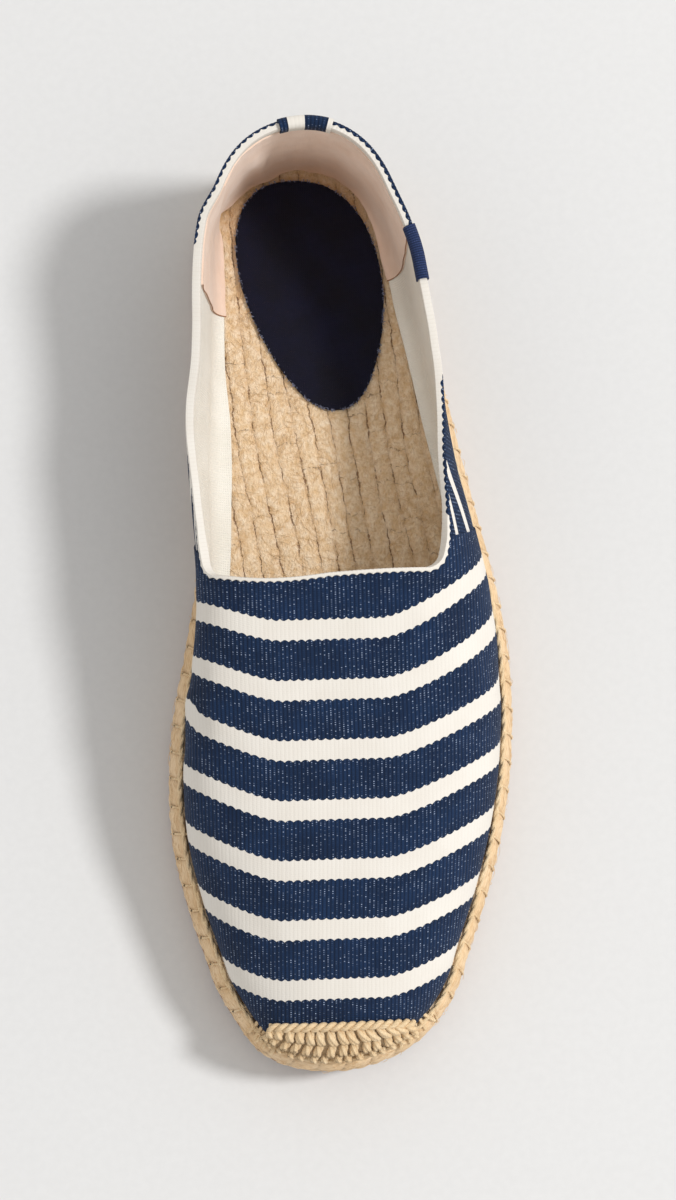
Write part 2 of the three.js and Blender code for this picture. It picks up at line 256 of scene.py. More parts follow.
@dataclass(frozen=True)
class Last:
    """The form that the whole shoe is built on."""

    length: float = 279.0
    inner_heel_round: float = 31.0
    outer_heel_round: float = 43.0
    toe_round: float = 30.0
    sole_top: float = 19.5
    gap: float = 0.3
    toe_spring: float = 3.5
    spring_start: float = 225.0
    wall: float = 1.8
    heel_inset: float = 2.4
    toe_inset: float = 4.6
    heel_turn_in: float = 2.7
    side_turn_in: float = 5.6
    heel_seat: float = 34.0
    throat: float = 135.0
    throat_dip: float = 2.5
    throat_skew: float = 0.9
    throat_corner: float = 4.0
    throat_reach: float = 40.0
    bulge_peak: float = 0.535
    middle_x: float = 2.0
    spine_start: float = 38.0
    spine_end: float = 245.0
    rib_steps: int = 96

    def station(self, turn: Array) -> Array:
        """Station of a turn: half the length times one less the cosine."""
        return self.length * (1 - np.cos(2 * np.pi * np.asarray(turn))) / 2

    def turn_at(self, station: float) -> float:
        """Turn on the outer side at a station."""
        return math.acos(1 - 2 * station / self.length) / (2 * math.pi)

    @property
    def throat_turn(self) -> float:
        """Turn of the throat's corner on the outer side."""
        return self.turn_at(self.throat)

    def is_outer(self, turn: Array) -> Array:
        """True on the outer side."""
        return (turn - np.floor(turn)) < 0.5

    def sided(self, rows: tuple, column: str, turn: Array, station: Array) -> Array:
        """A table's value from the inner or the outer column, whichever side the turn is on."""
        inner = read(rows, f"inner{column}", station)
        outer = read(rows, f"outer{column}", station)
        return np.where(self.is_outer(turn), outer, inner)

    def lift(self, station: Array) -> Array:
        """How far the toe spring lifts the shoe: the square of the distance past its start."""
        past = (station - self.spring_start) / (self.length - self.spring_start)
        return self.toe_spring * np.maximum(0, past) ** 2

    def outline(self, turn: Array) -> Array:
        """The sole's edge in plan: the half width times the round ends' quarter ellipses."""
        station = self.station(turn)
        heel_round = np.where(self.is_outer(turn), self.outer_heel_round, self.inner_heel_round)
        heel = np.clip(1 - station / heel_round, 0, 1)
        toe = np.clip(1 - (self.length - station) / self.toe_round, 0, 1)
        half = self.sided(SOLE, "", turn, station) * np.sqrt((1 - heel**2) * (1 - toe**2))
        return np.stack([np.where(self.is_outer(turn), half, -half), -station], -1)

    def outward(self, turn: Array) -> Array:
        """The outline's outward direction: its tangent turned by a right angle."""
        tangent = unit(self.outline(turn + 1e-4) - self.outline(turn - 1e-4))
        return np.stack([-tangent[..., 1], tangent[..., 0]], -1)

    def plan(self, turn: Array, out: Array) -> Array:
        """The outline moved outwards by a distance."""
        return self.outline(turn) + self.outward(turn) * np.asarray(out)[..., None]

    def ring(self, turn: Array, out: Array, height: Array) -> Array:
        """Points outside the outline by a distance and at a height, with the toe spring."""
        flat = self.plan(turn, out)
        z = height + self.lift(-flat[..., 1])
        return np.concatenate([flat, np.broadcast_to(z, flat.shape[:-1])[..., None]], -1)

    def past_heel(self, turn: Array) -> Array:
        """0 at the back of the heel, 1 past the heel seat."""
        return smoothstep(self.station(turn), 0, self.heel_seat)

    def inset(self, turn: Array) -> Array:
        """Distance from the sole's edge in to the upper."""
        return mix(self.heel_inset, self.toe_inset, self.past_heel(turn))

    def turn_in(self, turn: Array) -> Array:
        """How far the cloth is turned in over the sole."""
        return mix(self.heel_turn_in, self.side_turn_in, self.past_heel(turn))

    def base(self, station: Array) -> Array:
        """Height of the underside of the upper."""
        return self.sole_top + self.gap + self.lift(station)

    def near_throat(self, turn: Array) -> Array:
        """A bell curve of the station, 1 at the throat."""
        return bell(self.station(turn), self.throat, self.throat_reach)

    def spine(self, turn: Array) -> Array:
        """Station at which a rib meets the ridge: the rib's own, pushed toewards round the throat."""
        level = np.clip(self.station(turn), self.spine_start, self.spine_end)
        return level + self.throat_dip * self.near_throat(turn)

    def ribs(self, turn: Array) -> tuple[Array, Array]:
        """Ribs of the upper's surface: superellipses, across^box + up^box = 1, from the sole to the ridge.

        Near the throat a rib bows towards the toe by a share of the dip, 1 less a power of across, and
        slants by across times 1 less across.

        Args:
            turn: the ribs' turns, as a flat array.

        Returns:
            Points by rib and step, and their distances along the rib.
        """
        turn = np.asarray(turn, dtype=float)[:, None]
        foot = self.plan(turn, -self.inset(turn))
        out = self.outward(turn)
        nominal = self.station(turn)
        spine = np.clip(nominal, self.spine_start, self.spine_end)
        spine_x = read(LAST, "ridge_x", self.spine(turn))
        power = np.where(self.is_outer(turn), 2, 4)
        skew = np.where(self.is_outer(turn), -self.throat_skew, self.throat_skew)
        box = self.sided(LAST, "_box", turn, nominal)
        lean = self.sided(LAST, "_lean", turn, nominal)
        angle = np.linspace(0, np.pi / 2, self.rib_steps)[None, :]
        cos, sin = np.maximum(np.cos(angle), 0), np.sin(angle)
        roundness = (cos**box + sin**box) ** (1 / box)
        across, up = cos / roundness, sin / roundness
        bulge = lean * up * (1 - up**4) / self.bulge_peak
        x = spine_x + (foot[..., 0] - spine_x) * across + out[..., 0] * bulge
        bow = self.throat_dip * (1 - across**power) + 4 * skew * across * (1 - across)
        station = spine + (-foot[..., 1] - spine) * across - out[..., 1] * bulge
        station = station + bow * self.near_throat(turn)
        base = self.base(station)
        z = base + (read(LAST, "ridge", station) - base) * up
        points = np.stack([x, -station, z], -1)
        return points, travelled(points)

    def full(self, turn: Array) -> Array:
        """Length of the ribs at some turns."""
        return self.ribs(np.ravel(turn))[1][:, -1].reshape(np.shape(turn))

    def collar(self, turn: Array) -> Array:
        """Distance up the rib to the collar's edge, rounded where the edge meets the throat."""
        flat = np.ravel(turn).astype(float)
        points, reach = self.ribs(flat)
        station = np.minimum(self.station(flat), self.throat)
        height = self.sided(COLLAR, "", flat, station)
        above = np.argmax(points[..., 2] >= height[:, None], axis=1)
        row = np.arange(len(flat))
        z0, z1 = points[row, above - 1, 2], points[row, above, 2]
        t = (height - z0) / (z1 - z0)
        into = np.maximum(0, station - (self.throat - self.throat_corner))
        rise = self.throat_corner - np.sqrt(np.maximum(self.throat_corner**2 - into**2, 0))
        return (mix(reach[row, above - 1], reach[row, above], t) + rise).reshape(np.shape(turn))

    def surface(self, turn: Array, length: Array) -> Array:
        """Points of the upper's outside at turns and distances up their ribs.

        Args:
            turn: turns.
            length: distances up the ribs, of a shape that goes with the turns'.

        Returns:
            Points, with one more axis than the arguments.
        """
        turn, length = np.broadcast_arrays(turn, length)
        shape = turn.shape
        made = []
        for start in range(0, turn.size, BATCH):
            some = slice(start, start + BATCH)
            points, reach = self.ribs(turn.ravel()[some])
            want = length.ravel()[some]
            i = np.clip((reach < want[:, None]).sum(1) - 1, 0, self.rib_steps - 2)
            row = np.arange(len(want))
            t = (want - reach[row, i]) / (reach[row, i + 1] - reach[row, i])
            made.append(mix(points[row, i], points[row, i + 1], t[:, None]))
        points = np.concatenate(made).reshape(*shape, 3)
        away = np.stack([points[..., 0] - self.middle_x, np.zeros(shape), points[..., 2] - self.sole_top], -1)
        return points + unit(away) * (creased(points) * smoothstep(length, 0, 9))[..., None]

    def normal(self, turn: Array, length: Array) -> Array:
        """The surface's outward direction: the cross product of its two directions.

        On the ridge, where the two sides meet, it is square to the ridge line.
        """
        turn, length = np.broadcast_arrays(turn, length)
        low = np.maximum(length - 0.8, 0)
        along = self.surface(turn + 8e-4, length) - self.surface(turn - 8e-4, length)
        up = self.surface(turn, low + 1.6) - self.surface(turn, low)
        square = -unit(np.cross(along, up))
        spine = self.spine(turn)
        slope = (read(LAST, "ridge", spine + 1) - read(LAST, "ridge", spine - 1)) / 2
        ridge = unit(np.stack([np.zeros_like(slope), slope, np.ones_like(slope)], -1))
        on_ridge = smoothstep(length - self.full(turn), -6.0, 0.0)
        return unit(mix(square, ridge, on_ridge[..., None]))

    def proud(self, turn: Array, length: Array, height: Array) -> Array:
        """Points that stand off the upper's outside by a height."""
        return self.surface(turn, length) + self.normal(turn, length) * np.asarray(height)[..., None]

    def crest(self, station: Array) -> Array:
        """Height of the surface along its middle line, past the spine's end down to the toe."""
        toe = self.ribs(np.array([0.5]))[0][0]
        nose = np.interp(station, -toe[::-1, 1], toe[::-1, 2])
        return np.where(station > self.spine_end, nose, read(LAST, "ridge", station))


FORM = Last()


# Meshes.


class Sheet(NamedTuple):
    """Two grids of points, one behind the other, with cloth coordinates in millimetres."""

    top: Array
    bottom: Array
    cloth: Array
    extra: dict[str, Array] = {}


def quads(rows: int, columns: int, round_rows: bool = False, round_columns: bool = False) -> Array:
    """Faces of a grid whose points are numbered row by row.

    Args:
        rows: how many rows of points there are.
        columns: how many points a row has.
        round_rows: join the last row to the first.
        round_columns: join each row's last point to its first.

    Returns:
        Four point numbers a face.
    """
    number = np.arange(rows * columns).reshape(rows, columns)
    if round_rows:
        number = np.concatenate([number, number[:1]], 0)
    if round_columns:
        number = np.concatenate([number, number[:, :1]], 1)
    corners = (number[:-1, :-1], number[1:, :-1], number[1:, 1:], number[:-1, 1:])
    return np.stack(corners, -1).reshape(-1, 4)


def rungs(count: int) -> Array:
    """Faces that close a ring with an even count of points, by rungs across it."""
    k = np.arange(1, count // 2)
    return np.stack([k - 1, k, count - k - 1, count - k], -1)


def place(points: Array) -> Array:
    """Millimetres in the shoe's terms to metres in the frame, hung on the jute sole's own box."""
    low, high = (np.array(corner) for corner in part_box("jute_sole"))
    edge = FORM.outline(np.linspace(0, 1, 721))
    middle = np.array([(edge[:, 0].max() + edge[:, 0].min()) / 2, (edge[:, 1].max() + edge[:, 1].min()) / 2])
    moved = np.array(points, dtype=float) * MM
    moved[:, :2] += (low[:2] + high[:2]) / 2 - middle * MM
    return moved


def signed_volume(points: Array, faces: Array) -> float:
    """Six times the volume inside some faces, negative where they face inwards."""
    a, b, c, d = (points[faces[:, k]] for k in range(4))
    first = np.einsum("ij,ij->i", a, np.cross(b, c)).sum()
    return float(first + np.einsum("ij,ij->i", a, np.cross(c, d)).sum())


def merged(points: Array) -> tuple[Array, Array]:
    """Points that lie on one another taken as one.

    Args:
        points: the points, in millimetres.

    Returns:
        The number of the first of each set of equal points, and the set that each point is in.
    """
    keys = np.round(points / SAME).astype(np.int64)
    _, first, same = np.unique(keys, axis=0, return_index=True, return_inverse=True)
    return first, same.ravel()


@dataclass
class Piece:
    """A mesh in the making: points, faces and what the finish reads."""

    name: str
    points: Array
    faces: Array
    cloth: Array | None = None
    extra: dict[str, Array] = field(default_factory=dict)

    def build(self, finish: Material, slot: str, replaces: tuple[str, ...] = ()) -> bpy.types.Object:
        """Makes the object, faces outwards, and lets it ride on the shoe.

        Args:
            finish: its material.
            slot: the name of a material slot; not used.
            replaces: CAD nodes that it stands for.

        Returns:
            The new object.
        """
        first, same = merged(self.points)
        points = place(self.points[first])
        faces = np.asarray(self.faces)
        if signed_volume(points, same[faces]) < 0:
            faces = faces[:, ::-1]
        joined = same[faces]
        corner = joined != np.roll(joined, 1, axis=1)
        whole = corner.sum(1) >= 3
        corner = corner & whole[:, None]
        count = corner.sum(1)[whole]
        loops = joined[corner]
        mesh = bpy.data.meshes.new(self.name)
        mesh.vertices.add(len(points))
        mesh.vertices.foreach_set("co", points.astype(np.float32).ravel())
        mesh.loops.add(len(loops))
        mesh.loops.foreach_set("vertex_index", loops.astype(np.int32))
        mesh.polygons.add(len(count))
        mesh.polygons.foreach_set("loop_start", (np.cumsum(count) - count).astype(np.int32))
        mesh.polygons.foreach_set("use_smooth", np.ones(len(count), dtype=bool))
        mesh.update(calc_edges=True)
        if self.cloth is not None:
            layer = mesh.uv_layers.new(name="Cloth")
            layer.data.foreach_set("uv", self.cloth[faces[corner]].astype(np.float32).ravel())
        for key, values in self.extra.items():
            attribute = mesh.attributes.new(key, "FLOAT", "POINT")
            attribute.data.foreach_set("value", values[first].astype(np.float32))
        mesh.validate()
        mesh.set_sharp_from_angle(angle=SHARP)
        mesh.materials.append(finish)
        made = bpy.data.objects.new(self.name, mesh)
        bpy.context.scene.collection.objects.link(made)
        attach(made, BODY)
        if replaces:
            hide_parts(*replaces)
        LOG.info("%s: %d faces", self.name, len(faces))
        return made


def shell(name: str, sheets: list[Sheet]) -> Piece:
    """A thin body made of sheets that join where their points meet, closed round every open edge.

    Args:
        name: the piece's name.
        sheets: the sheets, with equal sets of extra values.

    Returns:
        The piece.
    """
    count = sum(sheet.top.shape[0] * sheet.top.shape[1] for sheet in sheets)
    start, front = 0, []
    for sheet in sheets:
        rows, columns = sheet.top.shape[:2]
        front.append(quads(rows, columns) + start)
        start += rows * columns
    faces = np.concatenate(front)
    top = np.concatenate([sheet.top.reshape(-1, 3) for sheet in sheets])
    bottom = np.concatenate([sheet.bottom.reshape(-1, 3) for sheet in sheets])
    same = merged(top)[1]
    a, b = faces.ravel(), np.roll(faces, -1, axis=1).ravel()
    low, high = np.minimum(same[a], same[b]), np.maximum(same[a], same[b])
    _, edge, uses = np.unique(low * count + high, return_inverse=True, return_counts=True)
    is_open = (uses[edge.ravel()] == 1) & (low != high)
    a, b = a[is_open], b[is_open]
    rim = np.stack([b, a, a + count, b + count], -1)
    cloth = np.concatenate([sheet.cloth.reshape(-1, 2) for sheet in sheets] * 2)
    extra = {}
    for key in sheets[0].extra:
        extra[key] = np.concatenate([sheet.extra[key].ravel() for sheet in sheets] * 2)
    faces = np.concatenate([faces, faces[:, ::-1] + count, rim])
    return Piece(name, np.concatenate([top, bottom]), faces, cloth, extra)


def ring_body(name: str, points: Array, cloth: Array, round_profile: bool = True) -> Piece:
    """A profile carried round a closed path: each row is the profile at one place on it.

    Args:
        name: the piece's name.
        points: profile points by place on the path.
        cloth: their cloth coordinates.
        round_profile: the profile comes back to its start; if not, its two ends lie on lines that the
            path goes along once each way.

    Returns:
        The piece.
    """
    rows, columns = points.shape[:2]
    faces = quads(rows, columns, True, round_profile)
    return Piece(name, points.reshape(-1, 3), faces, cloth.reshape(-1, 2))


def tubes(paths: Array, radius: Array, sides: int = 6, taper: float = 1.0) -> tuple[Array, Array, Array]:
    """Many round tubes at once, each along a path of equal count of points, with pointed ends.

    A tube's ring is the path's point plus the radius times the cosine and sine of the side's angle, along
    two directions that are square to the path.

    Args:
        paths: points by tube and step.
        radius: the radius of each tube and step, or one for all.
        sides: sides of a tube.
        taper: share of the radius that is left at the two ends.

    Returns:
        Points, faces and cloth coordinates: along the tube and round it, in millimetres.
    """
    count, steps = paths.shape[:2]
    tangent = unit(np.gradient(paths, axis=1))
    helper = np.where(np.abs(tangent[..., 2:3]) > 0.9, np.array([1.0, 0, 0]), np.array([0, 0, 1.0]))
    right = unit(np.cross(tangent, helper))
    up = np.cross(right, tangent)
    size = np.broadcast_to(radius, (count, steps)).copy()
    ends = np.ones(steps)
    ends[[0, -1]] = taper
    size = size * ends
    angle = np.arange(sides) * 2 * np.pi / sides
    ring = right[:, :, None] * np.cos(angle)[:, None] + up[:, :, None] * np.sin(angle)[:, None]
    points = paths[:, :, None] + ring * size[..., None, None]
    one = quads(steps, sides, False, True)
    one = np.concatenate([one, rungs(sides), rungs(sides)[:, ::-1] + (steps - 1) * sides])
    faces = (one[None] + np.arange(count)[:, None, None] * steps * sides).reshape(-1, 4)
    reach = travelled(paths)
    along = np.broadcast_to(reach[..., None], points.shape[:3])
    around = np.broadcast_to(angle * float(np.mean(size)), points.shape[:3])
    cloth = np.stack([along, around], -1)
    return points.reshape(-1, 3), faces, cloth.reshape(-1, 2)


def lattice(x: Array, y: Array, seed: int) -> Array:
    """Smooth noise from -1 to 1: random values at whole numbers, joined by S curves both ways."""
    values = np.random.default_rng(seed).uniform(-1, 1, (64, 64))
    x0, y0 = np.floor(x).astype(int), np.floor(y).astype(int)
    tx, ty = smoothstep(x - x0, 0, 1), smoothstep(y - y0, 0, 1)
    low = mix(values[x0 % 64, y0 % 64], values[(x0 + 1) % 64, y0 % 64], tx)
    high = mix(values[x0 % 64, (y0 + 1) % 64], values[(x0 + 1) % 64, (y0 + 1) % 64], tx)
    return mix(low, high, ty)


# Finishes.


def tone(code: str) -> tuple[float, float, float, float]:
    """Linear colour, with alpha, of a six-digit colour code."""
    parts = [int(code[k : k + 2], 16) / 255 for k in (0, 2, 4)]
    linear = [p / 12.92 if p <= 0.04045 else ((p + 0.055) / 1.055) ** 2.4 for p in parts]
    return (linear[0], linear[1], linear[2], 1.0)


class Board:
    """A material's node tree, wired with short calls."""

    def __init__(self, name: str, roughness: float, sheen: float = 0.0, specular: float = 0.3) -> None:
        """Starts a material.

        Args:
            name: its name.
            roughness: the surface's roughness.
            sheen: weight of the cloth sheen.
            specular: the reflection's level.
        """
        self.material = bpy.data.materials.new(name)
        self.material.use_nodes = True
        self.tree = self.material.node_tree
        self.shader = self.tree.nodes["Principled BSDF"]
        self.shader.inputs["Roughness"].default_value = roughness
        self.shader.inputs["Sheen Weight"].default_value = sheen
        self.shader.inputs["Sheen Roughness"].default_value = 0.6
        self.shader.inputs["Specular IOR Level"].default_value = specular

    def put(self, socket: Socket, value: object) -> None:
        """Links a socket to another one, or sets its value."""
        if isinstance(value, Socket):
            self.tree.links.new(value, socket)
        else:
            socket.default_value = value

    def math(self, operation: str, a: object, b: object = 0.0, c: object = 0.0) -> Socket:
        """One step of arithmetic."""
        node = self.tree.nodes.new("ShaderNodeMath")
        node.operation = operation
        for socket, value in zip(node.inputs, (a, b, c)):
            self.put(socket, value)
        return node.outputs[0]

    def times(self, a: object, b: object) -> Socket:
        """The product of two values."""
        return self.math("MULTIPLY", a, b)

    def times_plus(self, a: object, b: object, c: object) -> Socket:
        """The product of two values, plus a third one."""
        return self.math("MULTIPLY_ADD", a, b, c)

    def plus(self, a: object, b: object) -> Socket:
        """The sum of two values."""
        return self.math("ADD", a, b)

    def minus(self, a: object, b: object) -> Socket:
        """The first value less the second."""
        return self.math("SUBTRACT", a, b)

    def over(self, a: object, b: object) -> Socket:
        """The first value divided by the second."""
        return self.math("DIVIDE", a, b)

    def most(self, a: object, b: object) -> Socket:
        """The greater of two values."""
        return self.math("MAXIMUM", a, b)

    def size(self, a: object) -> Socket:
        """A value without its sign."""
        return self.math("ABSOLUTE", a)

    def sine(self, a: object) -> Socket:
        """The sine of an angle."""
        return self.math("SINE", a)

    def whole(self, a: object) -> Socket:
        """The whole number just below a value."""
        return self.math("FLOOR", a)

    def part(self, a: object) -> Socket:
        """How far a value is past the whole number below it."""
        return self.math("FRACT", a)

    def attribute(self, name: str) -> Socket:
        """A value that the mesh holds for each point."""
        node = self.tree.nodes.new("ShaderNodeAttribute")
        node.attribute_name = name
        return node.outputs["Fac"]

    def cloth(self) -> tuple[Socket, Socket]:
        """The two cloth coordinates, in millimetres."""
        node = self.tree.nodes.new("ShaderNodeUVMap")
        node.uv_map = "Cloth"
        split = self.tree.nodes.new("ShaderNodeSeparateXYZ")
        self.put(split.inputs[0], node.outputs[0])
        return split.outputs[0], split.outputs[1]

    def place(self) -> Socket:
        """Object coordinates, in metres."""
        return self.tree.nodes.new("ShaderNodeTexCoord").outputs["Object"]

    def join(self, x: object, y: object, z: object = 0.0) -> Socket:
        """Three values as one vector."""
        node = self.tree.nodes.new("ShaderNodeCombineXYZ")
        for socket, value in zip(node.inputs, (x, y, z)):
            self.put(socket, value)
        return node.outputs[0]

    def noise(self, vector: object, scale: float, detail: float = 3.0, rough: float = 0.55) -> Socket:
        """Cloudy noise from 0 to 1."""
        node = self.tree.nodes.new("ShaderNodeTexNoise")
        self.put(node.inputs["Vector"], vector)
        node.inputs["Scale"].default_value = scale
        node.inputs["Detail"].default_value = detail
        node.inputs["Roughness"].default_value = rough
        return node.outputs["Fac"]

    def dice(self, vector: object) -> Socket:
        """A random value from 0 to 1 for each vector."""
        node = self.tree.nodes.new("ShaderNodeTexWhiteNoise")
        self.put(node.inputs["Vector"], vector)
        return node.outputs["Value"]

    def blend(self, factor: object, a: object, b: object) -> Socket:
        """Colour a where the factor is 0 and b where it is 1."""
        node = self.tree.nodes.new("ShaderNodeMix")
        node.data_type = "RGBA"
        self.put(node.inputs["Factor"], factor)
        self.put(node.inputs[6], a)
        self.put(node.inputs[7], b)
        return node.outputs[2]

    def range(
        self, value: object, low: float, high: float, to_low: object = 0.0, to_high: object = 1.0
    ) -> Socket:
        """A value carried from one range to another, with an S curve and held at the ends."""
        node = self.tree.nodes.new("ShaderNodeMapRange")
        node.interpolation_type = "SMOOTHSTEP"
        for socket, put in zip(node.inputs, (value, low, high, to_low, to_high)):
            self.put(socket, put)
        return node.outputs[0]

    def relief(self, height: object, depth: float, strength: float = 1.0) -> None:
        """Bumps the surface by a height times a depth in millimetres."""
        node = self.tree.nodes.new("ShaderNodeBump")
        node.inputs["Strength"].default_value = strength
        node.inputs["Distance"].default_value = depth * MM
        self.put(node.inputs["Height"], height)
        self.put(self.shader.inputs["Normal"], node.outputs[0])

    def colour(self, value: object) -> None:
        """The surface's colour."""
        self.put(self.shader.inputs["Base Color"], value)


class Pattern(Enum):
    """How a canvas piece is striped."""

    ACROSS = "bands across the foot"
    EDGE = "cream from the edge inwards, navy outside it"
    LENGTHWAYS = "two thin lines along the side"
    TAPE = "bands along a tape"
    PLAIN = "no stripes"


@dataclass(frozen=True)
class Canvas:
    """Ribbed cotton canvas, navy and cream."""

    name: str
    pattern: Pattern
    rib: float = 2.4
    first_band: float = 150.1
    pitch: float = 17.07
    band: float = 5.8
    scallop: float = 0.55
    fleck_step: float = 0.62
    navy: str = "182f50"
    deep: str = "122541"
    # the painted shade in the grooves between navy yarns
    painted_groove_shade: str = "0a1830"
    fleck: str = "a6b5ce"
    cream: str = "e1ddd6"
    cream_shade: str = "d9d3ca"
    # the painted shade in the furrows between cream yarns
    painted_furrow_shade: str = "c6bbae"
    thin_lines: tuple[tuple[float, float, float], ...] = ((113.0, 0.36, 0.7), (103.5, 0.58, 1.45))
    tape_bands: tuple[float, float, float] = (2.7, 7.9, 14.9)

    def light(self, board: Board, across: object, along: object, ridge: object) -> object:
        """1 on the cream yarns and 0 on the navy ones.

        Args:
            board: the material's board.
            across: distance across the ribs.
            along: distance along the ribs.
            ridge: 0 between two ribs and 1 on a rib, where the navy reaches further.

        Returns:
            The mask.
        """
        if self.pattern is Pattern.ACROSS:
            start = self.first_band + (self.band - self.pitch) / 2
            phase = board.part(board.over(board.minus(along, start), self.pitch))
            off = board.times(board.size(board.minus(phase, 0.5)), self.pitch)
            fray = board.noise(board.join(across, along), 1.6, 2.0)
            reach = board.times_plus(ridge, self.scallop, board.times(fray, 0.24))
            limit = self.band / 2 + 0.64 * self.scallop + 0.12
            inside = board.math("LESS_THAN", board.plus(off, reach), limit)
            return board.times(inside, board.math("GREATER_THAN", along, self.first_band - self.pitch / 2))
        if self.pattern is Pattern.EDGE:
            return board.math("GREATER_THAN", board.attribute("cream"), board.times(ridge, self.scallop))
        if self.pattern is Pattern.LENGTHWAYS:
            station, below = board.attribute("station"), board.attribute("below")
            marks = []
            for start, slope, half in self.thin_lines:
                centre = board.times(board.minus(station, start), slope)
                off = board.size(board.minus(below, centre))
                marks.append(board.math("LESS_THAN", off, half))
            return board.most(*marks)
        if self.pattern is Pattern.TAPE:
            first, second, third = self.tape_bands
            in_first = board.math("COMPARE", across, (first + second) / 2, (second - first) / 2)
            return board.most(in_first, board.math("GREATER_THAN", across, third))
        return 0.0

    def flecks(self, board: Board, across: object, along: object) -> object:
        """Pale dots where the weft shows: one column a yarn, each dot as bright as a roll of the dice."""
        place = board.over(across, self.rib / 2)
        column = board.whole(place)
        aside = board.size(board.minus(board.part(place), 0.5))
        step = board.plus(board.over(along, self.fleck_step), board.times(column, 0.5))
        from_middle = board.size(board.minus(board.part(step), 0.5))
        thin = board.range(aside, 0.05, 0.2, 1.0, 0.0)
        short = board.range(from_middle, 0.1, 0.28, 1.0, 0.0)
        chance = board.dice(board.join(column, board.whole(step), 7.0))
        rarity = board.range(board.noise(board.join(across, along), 0.12), 0.35, 0.65, 7.0, 2.0)
        bright = board.math("POWER", chance, rarity)
        return board.times(board.times(thin, short), bright)

    def material(self) -> Material:
        """Ribs are the size of a sine across them; where a band crosses them its edge is scalloped."""
        board = Board(self.name, 0.9, sheen=0.05, specular=0.15)
        across, along = board.cloth()
        turnings = board.times(across, math.pi / self.rib)
        ridge = board.size(board.sine(turnings))
        yarn = board.size(board.sine(board.times(turnings, 2.0)))
        light = self.light(board, across, along, ridge)
        both = board.join(across, along)
        cloud = board.noise(both, 0.09, 4.0)
        dark = board.blend(board.range(cloud, 0.3, 0.7), tone(self.deep), tone(self.navy))
        # Painted shade: the navy darkens in the grooves between its yarns.
        dark = board.blend(board.range(yarn, 0.0, 0.9, 0.75, 0.0), dark, tone(self.painted_groove_shade))
        dark = board.blend(self.flecks(board, across, along), dark, tone(self.fleck))
        pale = board.blend(board.range(cloud, 0.3, 0.75, 0.0, 0.5), tone(self.cream), tone(self.cream_shade))
        # Painted shade: the cream darkens in the furrows between its yarns, more on the binding.
        depth = 0.16 if self.pattern is Pattern.EDGE else 0.12
        pale = board.blend(board.range(yarn, 0.0, 0.6, depth, 0.0), pale, tone(self.painted_furrow_shade))
        board.colour(board.blend(light, dark, pale))
        weft = board.sine(board.times(along, 2 * math.pi / self.fleck_step))
        height = board.times_plus(weft, 0.15, board.times(yarn, 0.7))
        height = board.times_plus(ridge, 0.35, height)
        height = board.times(height, board.times_plus(light, -0.8, 1.0))
        height = board.times_plus(board.noise(both, 2.2, 2.0), 0.25, height)
        board.relief(height, 0.24)
        return board.material


@dataclass(frozen=True)
class SmoothCloth:
    """Fine plain cloth or suede, with a soft nap and faint shading."""

    name: str
    base: str
    shade: str
    roughness: float = 0.9
    sheen: float = 0.15
    weave: float = 0.9
    depth: float = 0.12
    # colour of the painted shade low down at the back of the heel; none if empty
    foot_shade_tone: str = ""

    def material(self) -> Material:
        """A plain weave is the sum of two sines; clouds of noise mottle it, and painted shade darkens it low
        down.

        The painted shade grows from 16 to 44 mm along the second coordinate, and is strongest near the
        middle of the first one.
        """
        board = Board(self.name, self.roughness, sheen=self.sheen, specular=0.2)
        x, y = board.cloth()
        cloud = board.noise(board.join(x, y), 0.07, 5.0)
        shaded = board.blend(board.range(cloud, 0.25, 0.75), tone(self.base), tone(self.shade))
        # Painted shade: darker towards the bottom and towards the back of the heel, where the heel's walls
        # shade it.
        if self.foot_shade_tone:
            low = board.range(y, 16.0, 44.0, 0.0, 0.75)
            middle = board.range(board.size(x), 12.0, 34.0, 1.0, 0.25)
            shaded = board.blend(board.times(low, middle), shaded, tone(self.foot_shade_tone))
        board.colour(shaded)
        warp = board.sine(board.times(x, 2 * math.pi / self.weave))
        weft = board.sine(board.times(y, 2 * math.pi / self.weave))
        nap = board.noise(board.join(x, y), 1.9, 4.0)
        height = board.times_plus(warp, 0.3, board.times(weft, 0.3))
        board.relief(board.plus(height, nap), self.depth)
        return board.material


@dataclass(frozen=True)
class Jute:
    """Jute fibre: combed along the cloth's first coordinate, with painted shade down in its hollows."""

    name: str
    pale: str = "e2c49b"
    middle: str = "cba473"
    dark: str = "8a6238"
    # the tone of the painted shade in the hollows
    deep: str = "5b3d20"
    stretch: float = 0.16
    fine: float = 2.4
    depth: float = 0.35
    twist: float = 0.0

    def material(self) -> Material:
        """Fibres are noise drawn out along the strand; a twist shears them round it."""
        board = Board(self.name, 0.9, sheen=0.1, specular=0.2)
        along, round_it = board.cloth()
        if self.twist:
            round_it = board.times_plus(along, self.twist, round_it)
        drawn = board.join(board.times(along, self.stretch), round_it)
        fibres = board.noise(drawn, self.fine, 5.0, 0.65)
        patches = board.noise(board.place(), 90.0, 4.0, 0.6)
        painted_shade = board.attribute("painted_shade")
        base = board.blend(board.range(patches, 0.3, 0.7), tone(self.middle), tone(self.pale))
        base = board.blend(board.range(fibres, 0.3, 0.62, 0.65, 0.0), base, tone(self.dark))
        # Painted shade: a point attribute, 0 to 1, darkens the fibre towards the deep tone.
        board.colour(board.blend(board.times(painted_shade, 0.85), base, tone(self.deep)))
        board.relief(board.times_plus(fibres, 1.4, board.times(patches, 0.4)), self.depth)
        return board.material


